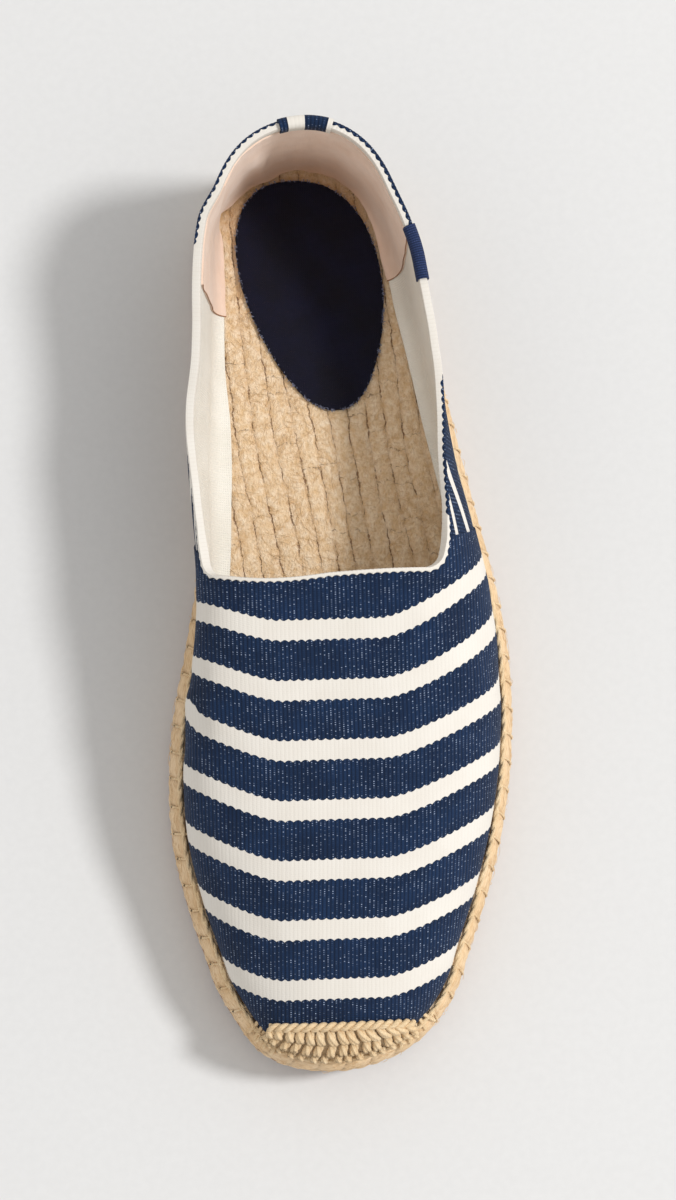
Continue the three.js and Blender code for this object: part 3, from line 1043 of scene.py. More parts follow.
@dataclass(frozen=True)
class Footbed:
    """Pressed jute coils, soft and fuzzy, with painted shade at the heel.

    Thin broken seams lie between the coils, and short cracks across them.
    """

    name: str = "bed_jute"
    pale: str = "fbe6ca"
    middle: str = "e6c59a"
    dark: str = "b98a57"
    gap: str = "7a4f2b"
    hair: str = "fbe9d0"
    coil: float = 5.6
    seam: float = 0.3
    crack: float = 0.22
    crack_step: float = 5.3

    def line(self, board: Board, off: object, width: object) -> object:
        """1 on a line and 0 a width away from it."""
        return board.minus(1.0, board.range(board.over(off, width), 0.25, 1.0))

    def material(self) -> Material:
        """Seams run where the coil number is whole, each as wide as the noise along it.

        A crack crosses a coil where the distance along it, over a step and shifted by a roll of the
        dice for each coil, is whole; another roll leaves out most of them.
        """
        board = Board(self.name, 0.95, sheen=0.12, specular=0.15)
        along, across = board.cloth()
        flat = board.join(along, across)
        wobble = board.minus(board.noise(flat, 0.35, 3.0), 0.5)
        row = board.times_plus(wobble, 0.32, board.attribute("row"))
        number = board.whole(row)
        in_row = board.minus(row, number)
        from_seam = board.minus(0.5, board.size(board.minus(in_row, 0.5)))
        from_seam = board.times(from_seam, self.coil)
        seam_number = board.whole(board.plus(row, 0.5))
        beside = board.join(board.times(along, 0.11), board.times(seam_number, 3.7))
        broken = board.noise(beside, 1.0, 3.0)
        frayed = board.noise(board.join(along, seam_number), 1.3, 2.0)
        widest = board.range(broken, 0.4, 0.66, 0.1, self.seam)
        seam_width = board.times(widest, board.range(frayed, 0.3, 0.6, 0.5, 1.3))
        seam = self.line(board, from_seam, seam_width)
        seam = board.times(seam, board.range(broken, 0.42, 0.58, 0.16, 1.0))
        seam = board.times(seam, board.range(frayed, 0.3, 0.5, 0.35, 1.0))
        shift = board.dice(board.join(number, 5.0))
        cell = board.plus(board.over(along, self.crack_step), board.times_plus(wobble, 1.1, shift))
        in_cell = board.part(cell)
        from_crack = board.minus(0.5, board.size(board.minus(in_cell, 0.5)))
        near = board.whole(board.plus(cell, 0.5))
        kept = board.range(board.dice(board.join(number, near, 2.0)), 0.72, 0.95)
        crack = self.line(board, board.times(from_crack, self.crack_step), self.crack)
        patchy = board.range(board.noise(flat, 0.7), 0.4, 0.6)
        crack = board.times(crack, board.times(kept, patchy))
        # The mask for painted shade beside the seams: 1 on a seam, 0 from 1.5 mm away.
        soft = board.minus(1.0, board.range(from_seam, 0.0, 1.5))
        lumps = board.noise(flat, 0.42, 4.0, 0.6)
        felt = board.noise(board.join(board.times(along, 0.7), across), 1.5, 5.0, 0.62)
        base = board.blend(board.range(lumps, 0.3, 0.72), tone(self.middle), tone(self.pale))
        tangled = board.join(board.times(along, 0.9), board.times(wobble, 9.0), across)
        hairs = board.noise(tangled, 3.1, 3.0, 0.7)
        base = board.blend(board.range(felt, 0.3, 0.58, 0.34, 0.0), base, tone(self.dark))
        base = board.blend(board.range(hairs, 0.58, 0.75, 0.0, 0.4), base, tone(self.hair))
        # Painted shade: a slight darkening beside each seam.
        base = board.blend(board.times(soft, 0.14), base, tone(self.dark))
        # Painted shade: the bed darkens towards the heel, most behind station 14 and fading out by 34.
        base = board.blend(board.range(along, 14.0, 34.0, 0.55, 0.0), base, tone(self.dark))
        gaps = board.most(seam, board.times(crack, 0.8))
        board.colour(board.blend(board.times(gaps, 0.8), base, tone(self.gap)))
        height = board.times_plus(lumps, 1.0, board.times(felt, 0.8))
        height = board.times_plus(gaps, -0.4, height)
        board.relief(height, 0.9)
        return board.material


@dataclass(frozen=True)
class Rubber:
    """Thin crepe rubber with a fine wavy tread underneath."""

    name: str = "tan_rubber"
    base: str = "c9a488"
    shade: str = "b58b6e"
    tread_rate: float = 1500.0
    sway_rate: float = 900.0
    sway: float = 1.3

    def material(self) -> Material:
        """The tread is a sine along the sole whose phase another sine, across it, shifts.

        The rates are in radians a metre.
        """
        board = Board(self.name, 0.62, specular=0.35)
        place = board.place()
        split = board.tree.nodes.new("ShaderNodeSeparateXYZ")
        board.put(split.inputs[0], place)
        speckle = board.noise(place, 900.0, 3.0)
        cloud = board.noise(place, 60.0, 4.0)
        board.colour(board.blend(board.range(cloud, 0.3, 0.7), tone(self.base), tone(self.shade)))
        sway = board.times(board.sine(board.times(split.outputs[0], self.sway_rate)), self.sway)
        tread = board.sine(board.times_plus(split.outputs[1], self.tread_rate, sway))
        board.relief(board.times_plus(speckle, 0.3, board.times(tread, 0.5)), 0.5)
        return board.material


@dataclass(frozen=True)
class Paper:
    """The floor: plain, pale and very slightly uneven."""

    name: str = "pale_floor"
    base: str = "dbdcdd"
    shade: str = "d8d9da"

    def material(self) -> Material:
        """One pale tone with a trace of grain."""
        board = Board(self.name, 0.9, specular=0.1)
        grain = board.noise(board.place(), 400.0, 3.0)
        board.colour(board.blend(board.range(grain, 0.2, 0.8), tone(self.base), tone(self.shade)))
        return board.material


@dataclass(frozen=True)
class Finishes:
    """The shoe's finishes, each made once."""

    vamp: Material
    quarter: Material
    tape: Material
    tag: Material
    binding: Material
    lining: Material
    suede: Material
    suede_edge: Material
    rim: Material
    bed: Material
    strand: Material
    hair: Material
    pad: Material
    fray: Material
    rubber: Material

    @classmethod
    def make(cls) -> Finishes:
        """Makes every material once."""
        tag = Canvas("tag_canvas", Pattern.PLAIN, rib=1.4, navy="2c3b63", deep="25345a", fleck="56658a")
        # Painted shade on the heel suede: darker low down at the back.
        suede = SmoothCloth("heel_suede", "f2dccd", "e8cbb6", sheen=0.3, weave=7.0, depth=0.16, foot_shade_tone="a9774f")
        return cls(
            vamp=Canvas("banded_canvas", Pattern.ACROSS).material(),
            quarter=Canvas("side_canvas", Pattern.LENGTHWAYS).material(),
            tape=Canvas("heel_tape_canvas", Pattern.TAPE).material(),
            tag=tag.material(),
            binding=Canvas("edge_canvas", Pattern.EDGE).material(),
            lining=SmoothCloth("cotton_lining", "ece9e1", "e3dfd5", weave=0.7, depth=0.1).material(),
            suede=suede.material(),
            suede_edge=SmoothCloth("suede_edge", "a5744f", "8d5f3d").material(),
            rim=Jute("rim_jute", pale="f0d6b2", middle="e6c79c", dark="c49d6e", depth=0.2).material(),
            bed=Footbed().material(),
            strand=Jute("strand_jute", pale="f6e0bb", middle="edd0a4", dark="cca676", twist=0.8).material(),
            hair=SmoothCloth("jute_hair", "ecd2a8", "cfa878").material(),
            pad=SmoothCloth("pad_cloth", "0b0a16", "0e0f26", sheen=0.03, weave=0.55, depth=0.1).material(),
            fray=SmoothCloth("frayed_threads", "8f93a8", "5e6485").material(),
            rubber=Rubber().material(),
        )


# Sub-assemblies.


@dataclass(frozen=True)
class Sole:
    """The coiled jute sole with its stitched rim, and the thin rubber under it."""

    stitches: int = 80
    rim_rows: int = 1200
    rim_in: float = 8.5
    coil: float = 5.6
    strand: float = 0.52
    twist_out: float = 0.3
    twist_up: float = 0.34
    cord_in: float = 1.2
    cord_height: float = 20.0
    loop: float = 0.37
    loop_slant: float = 0.28
    braid: float = 4.9
    braid_slant: float = 1.1
    under_cap: float = 0.068
    bed_in: float = 3.6
    bed_height: float = 18.95
    bed_rows: int = 340
    bed_columns: int = 140
    rubber_rows: int = 480
    edge: tuple[tuple[float, float], ...] = (
        (-1.4, 4.0),
        (-0.3, 6.5),
        (0.0, 11.0),
        (-0.5, 15.2),
        (-1.8, 18.3),
        (-3.9, 19.4),
        (-5.0, 19.2),
        (-8.5, 17.4),
    )
    rubber_edge: tuple[tuple[float, float], ...] = ((-1.6, 0.0), (-0.5, 0.8), (-0.3, 3.7), (-1.4, 3.7))
    loop_rail: tuple[tuple[float, float], ...] = (
        (-4.2, 20.2),
        (-3.4, 19.45),
        (-1.9, 18.15),
        (-0.75, 16.2),
        (-0.35, 14.6),
        (-0.5, 13.4),
    )

    def round_trip(self, count: int) -> tuple[Array, Array]:
        """Turns at even distances round the sole's edge, and those distances."""
        turn = np.linspace(0, 1, 4001)
        reach = running(FORM.outline(turn))
        want = np.arange(count) * reach[-1] / count
        return np.interp(want, reach, turn), want

    def relief(self, far: Array, height: Array, pitch: float) -> tuple[Array, Array]:
        """How far the rim stands out, and how much painted shade its hollows get.

        Puffs between the stitches are the size of a sine, to a small power, of the place between two
        stitches; the two braided rows below are sines of the distance plus and minus the height.

        Args:
            far: distance round the edge.
            height: height above the floor.
            pitch: distance between stitches.

        Returns:
            The relief in millimetres and the painted shade from 0 to 1.
        """
        slant = (height - 15) * self.loop_slant
        puff = np.abs(np.sin(np.pi * (far + slant) / pitch)) ** 0.28
        upper = smoothstep(height, 12.8, 14.5)
        low, high = smoothstep(height, 8.6, 9.6), 1 - smoothstep(height, 8.2, 9.2)
        braid = np.abs(np.sin(np.pi * (far + self.braid_slant * height) / self.braid)) * low
        braid = braid + np.abs(np.sin(np.pi * (far - self.braid_slant * height) / self.braid)) * high
        seam = bell(height, 9, 0.7) + bell(height, 13.6, 0.6)
        shape = mix(braid**0.6 - 1, puff - 1, upper)
        rough = lattice(far / 1.7, height / 2.3, 3) * 0.12 + lattice(far / 0.8 + 9, height / 1.1, 4) * 0.08
        out = shape * mix(0.75, 0.85, upper) - 0.7 * seam * (1 - upper) + rough
        # Painted shade: darker in the dips between puffs and braid strands, and along the two seams.
        painted_shade = mix(0.85, 0.75, upper) * np.clip(-shape, 0, 1) ** 2 + 0.8 * seam * (1 - upper)
        return out, np.clip(painted_shade, 0, 1)

    def rim(self, finishes: Finishes) -> None:
        """The outer coils: the rim's profile carried round the sole, with relief and painted shade."""
        turn, far = self.round_trip(self.rim_rows)
        pitch = (far[-1] + far[1]) / self.stitches
        profile = spaced(np.array(self.edge), 26)[0]
        inner = np.array([[-self.rim_in, 12.0], [-self.rim_in, 4.2], [-5.0, 4.0]])
        out = np.concatenate([profile[:, 0], inner[:, 0]])
        height = np.concatenate([profile[:, 1], inner[:, 1]])
        slope = np.gradient(profile, axis=0)
        face = unit(np.stack([slope[:, 1], -slope[:, 0]], -1))
        face = np.concatenate([face, np.zeros((3, 2))])
        bump, painted_shade = self.relief(far[:, None], height[None], pitch)
        flat_in = 1 - smoothstep(-out, 5.6, 7.0)
        bump = bump * flat_in
        moved = out[None] + bump * face[None, :, 0], height[None] + bump * face[None, :, 1]
        points = FORM.ring(turn[:, None], *moved)
        cloth = np.stack(np.broadcast_arrays(far[:, None], running(np.stack([out, height], -1))[None]), -1)
        body = ring_body("jute_edge", points, cloth)
        from_canvas = out[None] + FORM.inset(turn)[:, None]
        # Painted shadow: dark within about a millimetre of the canvas, along the top of the rim where the two
        # meet.
        gap = (1 - smoothstep(from_canvas, 0.5, 1.3)) * (height > 15)
        body.extra["painted_shade"] = np.maximum(painted_shade * flat_in, gap).ravel()
        body.build(finishes.rim, "jute")

    def bed(self, finishes: Finishes) -> None:
        """The footbed: lengthwise coils with dark seams, on a grid across and along the sole."""
        share = np.linspace(0, 1, self.bed_rows)
        turn = 0.5 * (share - np.sin(4 * np.pi * share) * 0.022)
        edge = np.full(self.bed_rows, -self.bed_in)
        outer, inner = FORM.plan(turn, edge), FORM.plan(1 - turn, edge)
        across = np.linspace(0, 1, self.bed_columns)[None, :, None]
        flat = mix(inner[:, None], outer[:, None], across)
        x, station = flat[..., 0], -flat[..., 1]
        drift = np.interp(station, [0, 60, 130, 190, 250, 279], [0, 3, 12.8, 11.5, 6, 4])
        row = (x - drift) / self.coil + 0.2 * lattice(station / 31, x / 16, 5)
        row = row + 0.05 * lattice(station / 5.5, x / 6, 12)
        apart = np.abs(row - np.floor(row) - 0.5) * 2
        lumps = lattice(x / 2.6, station / 3.4, 9) * 0.2 + lattice(x / 6.1, station / 8.3, 10) * 0.25
        height = self.bed_height + 0.45 * (1 - apart**4) + lumps
        top = np.stack([x, -station, height + FORM.lift(station)], -1)
        bottom = np.stack([x, -station, 15 + FORM.lift(station)], -1)
        cloth = np.stack([station, x], -1)
        sheet = Sheet(top, bottom, cloth, {"row": row})
        shell("footbed", [sheet]).build(finishes.bed, "jute", ("jute_sole",))

    def underside(self, finishes: Finishes) -> None:
        """The rubber: rings that shrink from its edge on to the sole's middle line, below and above."""
        turn, _ = self.round_trip(self.rubber_rows)
        rings = []
        for out, height in self.rubber_edge:
            rings.append(FORM.ring(turn, np.full(self.rubber_rows, out), np.full(self.rubber_rows, height)))
        station = np.clip(FORM.station(turn), 34, 247)
        middle = (read(SOLE, "outer", station) - read(SOLE, "inner", station)) / 2
        spine = np.stack([middle, -station], -1)
        below = self.inwards(rings[0], spine, self.rubber_edge[0][1])
        above = self.inwards(rings[-1], spine, self.rubber_edge[-1][1])
        points = np.stack([*below, *rings, *above[::-1]], 1)
        body = ring_body("outsole_fine", points, points[..., :2], round_profile=False)
        body.build(finishes.rubber, "rubber", ("outsole",))

    def inwards(self, ring: Array, spine: Array, height: float) -> list[Array]:
        """Rings from the middle line out towards one ring."""
        made = []
        for t in np.linspace(1, 0, 9)[:-1]:
            flat = mix(ring[:, :2], spine, t)
            made.append(np.concatenate([flat, (height + FORM.lift(-flat[:, 1]))[:, None]], -1))
        return made

    def joint(self, finishes: Finishes) -> None:
        """The twisted cord along the joint, and its stitches over the rim."""
        turn, far = self.round_trip(1440)
        pitch = (far[-1] + far[1]) / self.stitches
        inset = -FORM.inset(turn) + self.cord_in
        for strand in range(2):
            angle = 2 * np.pi * far / pitch + strand * np.pi
            radius = self.strand * (0.92 + 0.12 * np.sin(far / 3.1 + strand))
            side = np.arange(8) * np.pi / 4
            out = inset[:, None] + self.twist_out * np.cos(angle)[:, None] + radius[:, None] * np.cos(side)
            height = self.twist_up * np.sin(angle)[:, None] + radius[:, None] * np.sin(side)
            points = FORM.ring(turn[:, None], out, self.cord_height + height)
            cloth = np.stack(np.broadcast_arrays(far[:, None], side[None] * 0.55), -1)
            body = ring_body(f"joint_cord_{strand + 1}", points, cloth)
            body.extra["painted_shade"] = np.zeros(len(body.points))
            body.build(finishes.strand, "jute")
        self.loops(finishes)

    def loops(self, finishes: Finishes) -> None:
        """Stitches from the cord over the rim and down its side."""
        grown = np.random.default_rng(11)
        fine, reach = self.round_trip(4000)
        total = reach[-1] + reach[1]
        pitch = total / self.stitches
        rail = spaced(np.array(self.loop_rail), 10)[0]
        far = (np.arange(self.stitches)[:, None] * pitch) - (rail[None, :, 1] - 15) * self.loop_slant
        far = far + grown.uniform(-0.35, 0.35, (self.stitches, 1))
        turn = np.interp(np.mod(far, total), reach, fine)
        turn = turn[np.abs(turn[:, 0] - 0.5) > self.under_cap]
        wide = FORM.heel_inset - FORM.inset(turn) + self.cord_in
        out = rail[None, :, 0] + wide * smoothstep(-rail[:, 0], 1.0, 4.2)
        paths = FORM.ring(turn, out, np.broadcast_to(rail[None, :, 1], out.shape))
        points, faces, cloth = tubes(paths, self.loop, 6, 0.6)
        made = Piece("edge_stitches", points, faces, cloth, {"painted_shade": np.zeros(len(points))})
        made.build(finishes.strand, "jute")

    def hairs(self, finishes: Finishes) -> None:
        """Loose jute fibres on the rim and the footbed: arcs that lie down at both ends."""
        grown = np.random.default_rng(21)
        step = np.linspace(0, 1, 6)
        count = 500
        turn = grown.uniform(0, 1, count)[:, None] + grown.uniform(-0.006, 0.006, (count, 1)) * step
        out = grown.uniform(-2.2, -0.2, (count, 1)) + grown.uniform(-0.8, 0.8, (count, 1)) * step
        arch = 0.15 + grown.uniform(0.1, 0.9, (count, 1)) * np.sin(np.pi * step)
        drop = np.interp(-out, [-1, 0, 0.5, 1.9, 4.2], [12, 13, 15.2, 18.2, 19.5])
        rim = FORM.ring(turn, out + arch * 0.6, drop + arch * 0.4)
        count = 1500
        station = grown.uniform(12, 134, (count, 1))
        side = grown.uniform(-1, 1, (count, 1))
        half = np.interp(station, [10, 40, 134], [18, 26, 37])
        middle = np.interp(station, [0, 60, 130], [0.5, 2.5, 8.0])
        lean = grown.uniform(0, 2 * np.pi, (count, 1)) + grown.uniform(-0.8, 0.8, (count, 1)) * step
        length = grown.uniform(1.5, 6.0, (count, 1))
        x = middle + side * half + length * np.cos(lean) * step
        y = -station + length * np.sin(lean) * step
        z = 19.3 + grown.uniform(0.1, 0.9, (count, 1)) * np.sin(np.pi * step)
        bed = np.stack([x, y, z], -1)
        points, faces, cloth = tubes(np.concatenate([rim, bed]), 0.06, 4, 0.4)
        Piece("jute_fibres", points, faces, cloth).build(finishes.hair, "jute")

    def build(self, finishes: Finishes) -> None:
        """Every piece of the sole."""
        self.rim(finishes)
        self.bed(finishes)
        self.underside(finishes)
        self.joint(finishes)
        self.hairs(finishes)


@dataclass(frozen=True)
class Upper:
    """The striped canvas: quarters round the heel, a vamp over the toes, and their linings."""

    cloth: float = 0.6
    lining_out: float = -0.65
    lap: float = 0.5
    wing_foot: float = 116.0
    outer_wing_top: float = 125.5
    inner_wing_top: float = 129.0
    fillet: float = 12.0
    quarter_rows: int = 260
    quarter_columns: int = 34
    free_width: float = 14.0
    outer_sweep: tuple[float, float] = (0.72, 0.54)
    inner_sweep: tuple[float, float] = (0.45, 0.58)

    def round_heel(self, count: int) -> Array:
        """Turns from the throat's corner round the heel to the other, closer together at both ends."""
        return FORM.throat_turn * np.sin(np.pi / 2 * np.linspace(-1, 1, count))

    def sheet(
        self, turn: Array, length: Array, high: Array, low: Array, cloth: Array, **extra: Array
    ) -> Sheet:
        """A sheet that follows the upper's surface between two heights off it."""
        base, out = FORM.surface(turn, length), FORM.normal(turn, length)
        high, low = np.broadcast_to(high, turn.shape), np.broadcast_to(low, turn.shape)
        return Sheet(base + out * high[..., None], base + out * low[..., None], cloth, extra)

    def band_cloth(self, turn: Array, length: Array) -> Array:
        """The vamp's cloth coordinates.

        The stripe coordinate is the station plus a sweep: nothing near the ridge and, beyond a free
        width, the square of the excess over the distance from the ridge.

        Args:
            turn: turns.
            length: distances up the ribs.

        Returns:
            Distance across the ribs of the cloth, and the stripe coordinate.
        """
        points = FORM.surface(turn, length)
        station = -points[..., 1]
        off = points[..., 0] - read(LAST, "ridge_x", station)
        drop = np.maximum(FORM.crest(station) - points[..., 2], 0)
        wide = np.hypot(off, drop)
        toewards = smoothstep(station, 130, 182)
        sweep = np.where(off > 0, mix(*self.outer_sweep, toewards), mix(*self.inner_sweep, toewards))
        swept = sweep * np.maximum(0, wide - self.free_width) ** 2 / np.maximum(wide, 1)
        pucker = 3.2 * smoothstep(-points[..., 0], 35.0, 39.5) * bell(station, 171, 7)
        return np.stack([np.sign(off) * wide, station + swept + pucker], -1)

    def vamp(self, finishes: Finishes) -> None:
        """The front: a main sheet from the throat to the toe and a wing back along each side."""
        corner, rise = FORM.throat_turn, 22
        edge = [float(FORM.collar(np.array(t)) / FORM.full(np.array(t))) for t in (corner, 1 - corner)]
        turn = np.linspace(corner, 1 - corner, 241)[:, None]
        split = mix(edge[0], edge[1], (turn - corner) / (1 - 2 * corner))
        low, high = np.linspace(0, 1, rise), np.linspace(0, 1, 44)[1:]
        share = np.concatenate([split * low, split + (1 - split) * high], 1)
        share[:, -1] = 1
        turn = np.broadcast_to(turn, share.shape)
        length = share * FORM.full(turn[:, :1])
        past = np.minimum(turn, 1 - turn) - corner
        lift = self.lap * (1 - smoothstep(past, 0.0, 0.011)) * (1 - smoothstep(share - split, 0.0, 0.12))
        sheets = [self.sheet(turn, length, lift, lift - self.cloth + 0.1, self.band_cloth(turn, length))]
        step = np.sin(np.pi / 2 * np.linspace(0, 1, 16))[:, None]
        for top, mirror in ((self.outer_wing_top, False), (self.inner_wing_top, True)):
            start = np.array([FORM.turn_at(s) for s in mix(self.wing_foot, top, low)])
            turn = mix(start[None], corner, step)
            turn = 1 - turn if mirror else turn
            length = low * FORM.collar(turn)
            sheets.append(self.sheet(turn, length, self.lap, 0.0, self.band_cloth(turn, length)))
        shell("vamp", sheets).build(finishes.vamp, "canvas", ("upper",))

    def quarters(self, finishes: Finishes) -> None:
        """The back: one sheet round the heel from throat to throat."""
        turn = self.round_heel(self.quarter_rows)
        around = running(FORM.surface(turn, np.full(turn.shape, 16.0)))
        around = around - around[-1] / 2
        turn = np.broadcast_to(turn[:, None], (self.quarter_rows, self.quarter_columns))
        top = FORM.collar(turn[:, :1])
        length = top * np.linspace(0, 1, self.quarter_columns)
        cloth = np.stack([np.broadcast_to(around[:, None], turn.shape), length], -1)
        station = -FORM.surface(turn, length)[..., 1]
        sheet = self.sheet(turn, length, 0.0, -self.cloth, cloth, station=station, below=top - length)
        shell("quarters", [sheet]).build(finishes.quarter, "canvas")

    def inside(
        self, turn: Array, top: Array, depth: float, back: float, steps: int = 26
    ) -> tuple[Array, Array, Array]:
        """Both faces of a lining: down the wall, round a quarter ellipse and on to the turned-in edge.

        Args:
            turn: turns, as a flat array.
            top: distance up each rib to the lining's upper edge.
            depth: how far inside the surface the lining's face is.
            back: how far inside it the lining's back is.
            steps: steps down the wall.

        Returns:
            Points of the face, points of the back, and the distance down, by turn and step.
        """
        low = np.minimum(0.3 * top, self.fillet)
        down = mix(top[:, None], low[:, None], np.linspace(0, 1, steps)[None])
        wide = np.broadcast_to(turn[:, None], down.shape)
        base, out = FORM.surface(wide, down), FORM.normal(wide, down)
        wall, wall_back = base - out * depth, base - out * back
        reach = -(FORM.inset(turn) + FORM.turn_in(turn)) - (depth - FORM.wall) + self.loose(turn)
        seat = FORM.sole_top + FORM.gap
        lip = FORM.ring(turn, reach, np.full(turn.shape, seat + 0.7))[:, None]
        angle = np.linspace(0, np.pi / 2, 10)[1:]
        flat = mix(wall[:, -1:, :2], lip[..., :2], (1 - np.cos(angle))[None, :, None])
        rise = mix(wall[:, -1:, 2:], lip[..., 2:], np.sin(angle)[None, :, None])
        face = np.concatenate([wall, np.concatenate([flat, rise], -1)], 1)
        lower = low[:, None] * np.linspace(1, 0, 6)[1:]
        wide = np.broadcast_to(turn[:, None], lower.shape)
        heel = FORM.surface(wide, lower) - FORM.normal(wide, lower) * back
        under = FORM.ring(turn, reach, np.full(turn.shape, seat + 0.05))[:, None]
        floor = mix(heel[:, -1:], under, np.linspace(0, 1, 5)[1:][None, :, None])
        behind = np.concatenate([wall_back, heel, floor], 1)
        return face, behind, travelled(face)

    def loose(self, turn: Array) -> Array:
        """How far the lining's foot moves out: a corner at the inner back of the heel, and small waves."""
        place = turn - np.round(turn)
        corner = 2.3 * bell(place, -0.078, 0.010) - 0.5 * bell(place, -0.05, 0.010)
        side = 1.1 * smoothstep(-place, 0.074, 0.088) * (1 - smoothstep(-place, 0.15, 0.19))
        return corner + side + 0.2 * lattice(place * 60 + 20, place * 0, 33)

    def linings(self, finishes: Finishes) -> None:
        """The cotton lining of the quarters and of the vamp."""
        turn = self.round_heel(220)
        face, behind, travel = self.inside(turn, FORM.collar(turn), FORM.wall, -self.lining_out)
        around = running(face[:, 10])
        cloth = np.stack([np.broadcast_to(around[:, None], travel.shape), travel], -1)
        shell("quarter_lining", [Sheet(face, behind, cloth)]).build(finishes.lining, "canvas")
        turn = np.linspace(FORM.throat_turn, 1 - FORM.throat_turn, 181)
        face, behind, _ = self.inside(turn, FORM.full(turn), FORM.wall, -self.lining_out, 40)
        shell("vamp_lining", [Sheet(face, behind, face[..., :2])]).build(finishes.lining, "canvas")

    def heel_patch(self, finishes: Finishes) -> None:
        """The suede inside the heel, cut slanting at its two front ends, with its raw edges."""
        steps = 26
        high = np.linspace(0, 1, steps + 9)[None]
        outer = np.array([FORM.turn_at(s) for s in mix(36.0, 39.0, high[0])])
        inner = -np.array([FORM.turn_at(s) for s in mix(49.0, 50.5, high[0])])
        share = np.linspace(0, 1, 150)[:, None]
        turn = mix(inner[None], outer[None], share)
        table = np.linspace(inner.min(), outer.max(), 200)
        place = table[:, None]
        puckers = 0.22 * lattice(place * 90 + 7, high * 6, 31) + 0.1 * lattice(place * 260, high * 11, 32)
        fold = bell(place, 0.022 * high - 0.05, 0.011) * smoothstep(high, 0.1, 0.6)
        right = bell(place, 0.062 - 0.016 * high, 0.010) * smoothstep(high, 0.02, 0.3)
        puckers = puckers + 1.1 * fold + 0.8 * right * (1 - 0.6 * high)
        face, _, travel = self.inside(table, FORM.collar(table) - 3.6, FORM.wall + 0.55, FORM.wall, steps)
        wall, _, _ = self.inside(table, FORM.collar(table) - 3.6, FORM.wall + 0.02, FORM.wall, steps)
        face = face + unit(face - wall) * puckers[..., None]
        at = (turn - table[0]) / (table[-1] - table[0]) * (len(table) - 1)
        low = np.clip(np.floor(at).astype(int), 0, len(table) - 2)
        part = (at - low)[..., None]
        column = np.broadcast_to(np.arange(steps + 9), low.shape)
        top = mix(face[low, column], face[low + 1, column], part)
        bottom = mix(wall[low, column], wall[low + 1, column], part)
        cloth = np.stack([turn * 397, travel[low, column]], -1)
        shell("heel_suede", [Sheet(top, bottom, cloth)]).build(finishes.suede, "canvas")
        points, faces, cloth = tubes(top[[0, -1]], 0.17, 6, 1.0)
        Piece("suede_edges", points, faces, cloth).build(finishes.suede_edge, "canvas")

    def build(self, finishes: Finishes) -> None:
        """Every piece of the upper."""
        self.vamp(finishes)
        self.quarters(finishes)
        self.linings(finishes)
        self.heel_patch(finishes)


class Rail(NamedTuple):
    """A path on the upper's edge, and what the binding does along it.

    It holds points, the directions out of the cloth and down into it, the distance along, the width of
    the outer lip, 1 where the vamp laps under it, and how far round the fold the navy comes.
    """

    points: Array
    out: Array
    into: Array
    far: Array
    width: Array
    lap: Array
    navy: Array


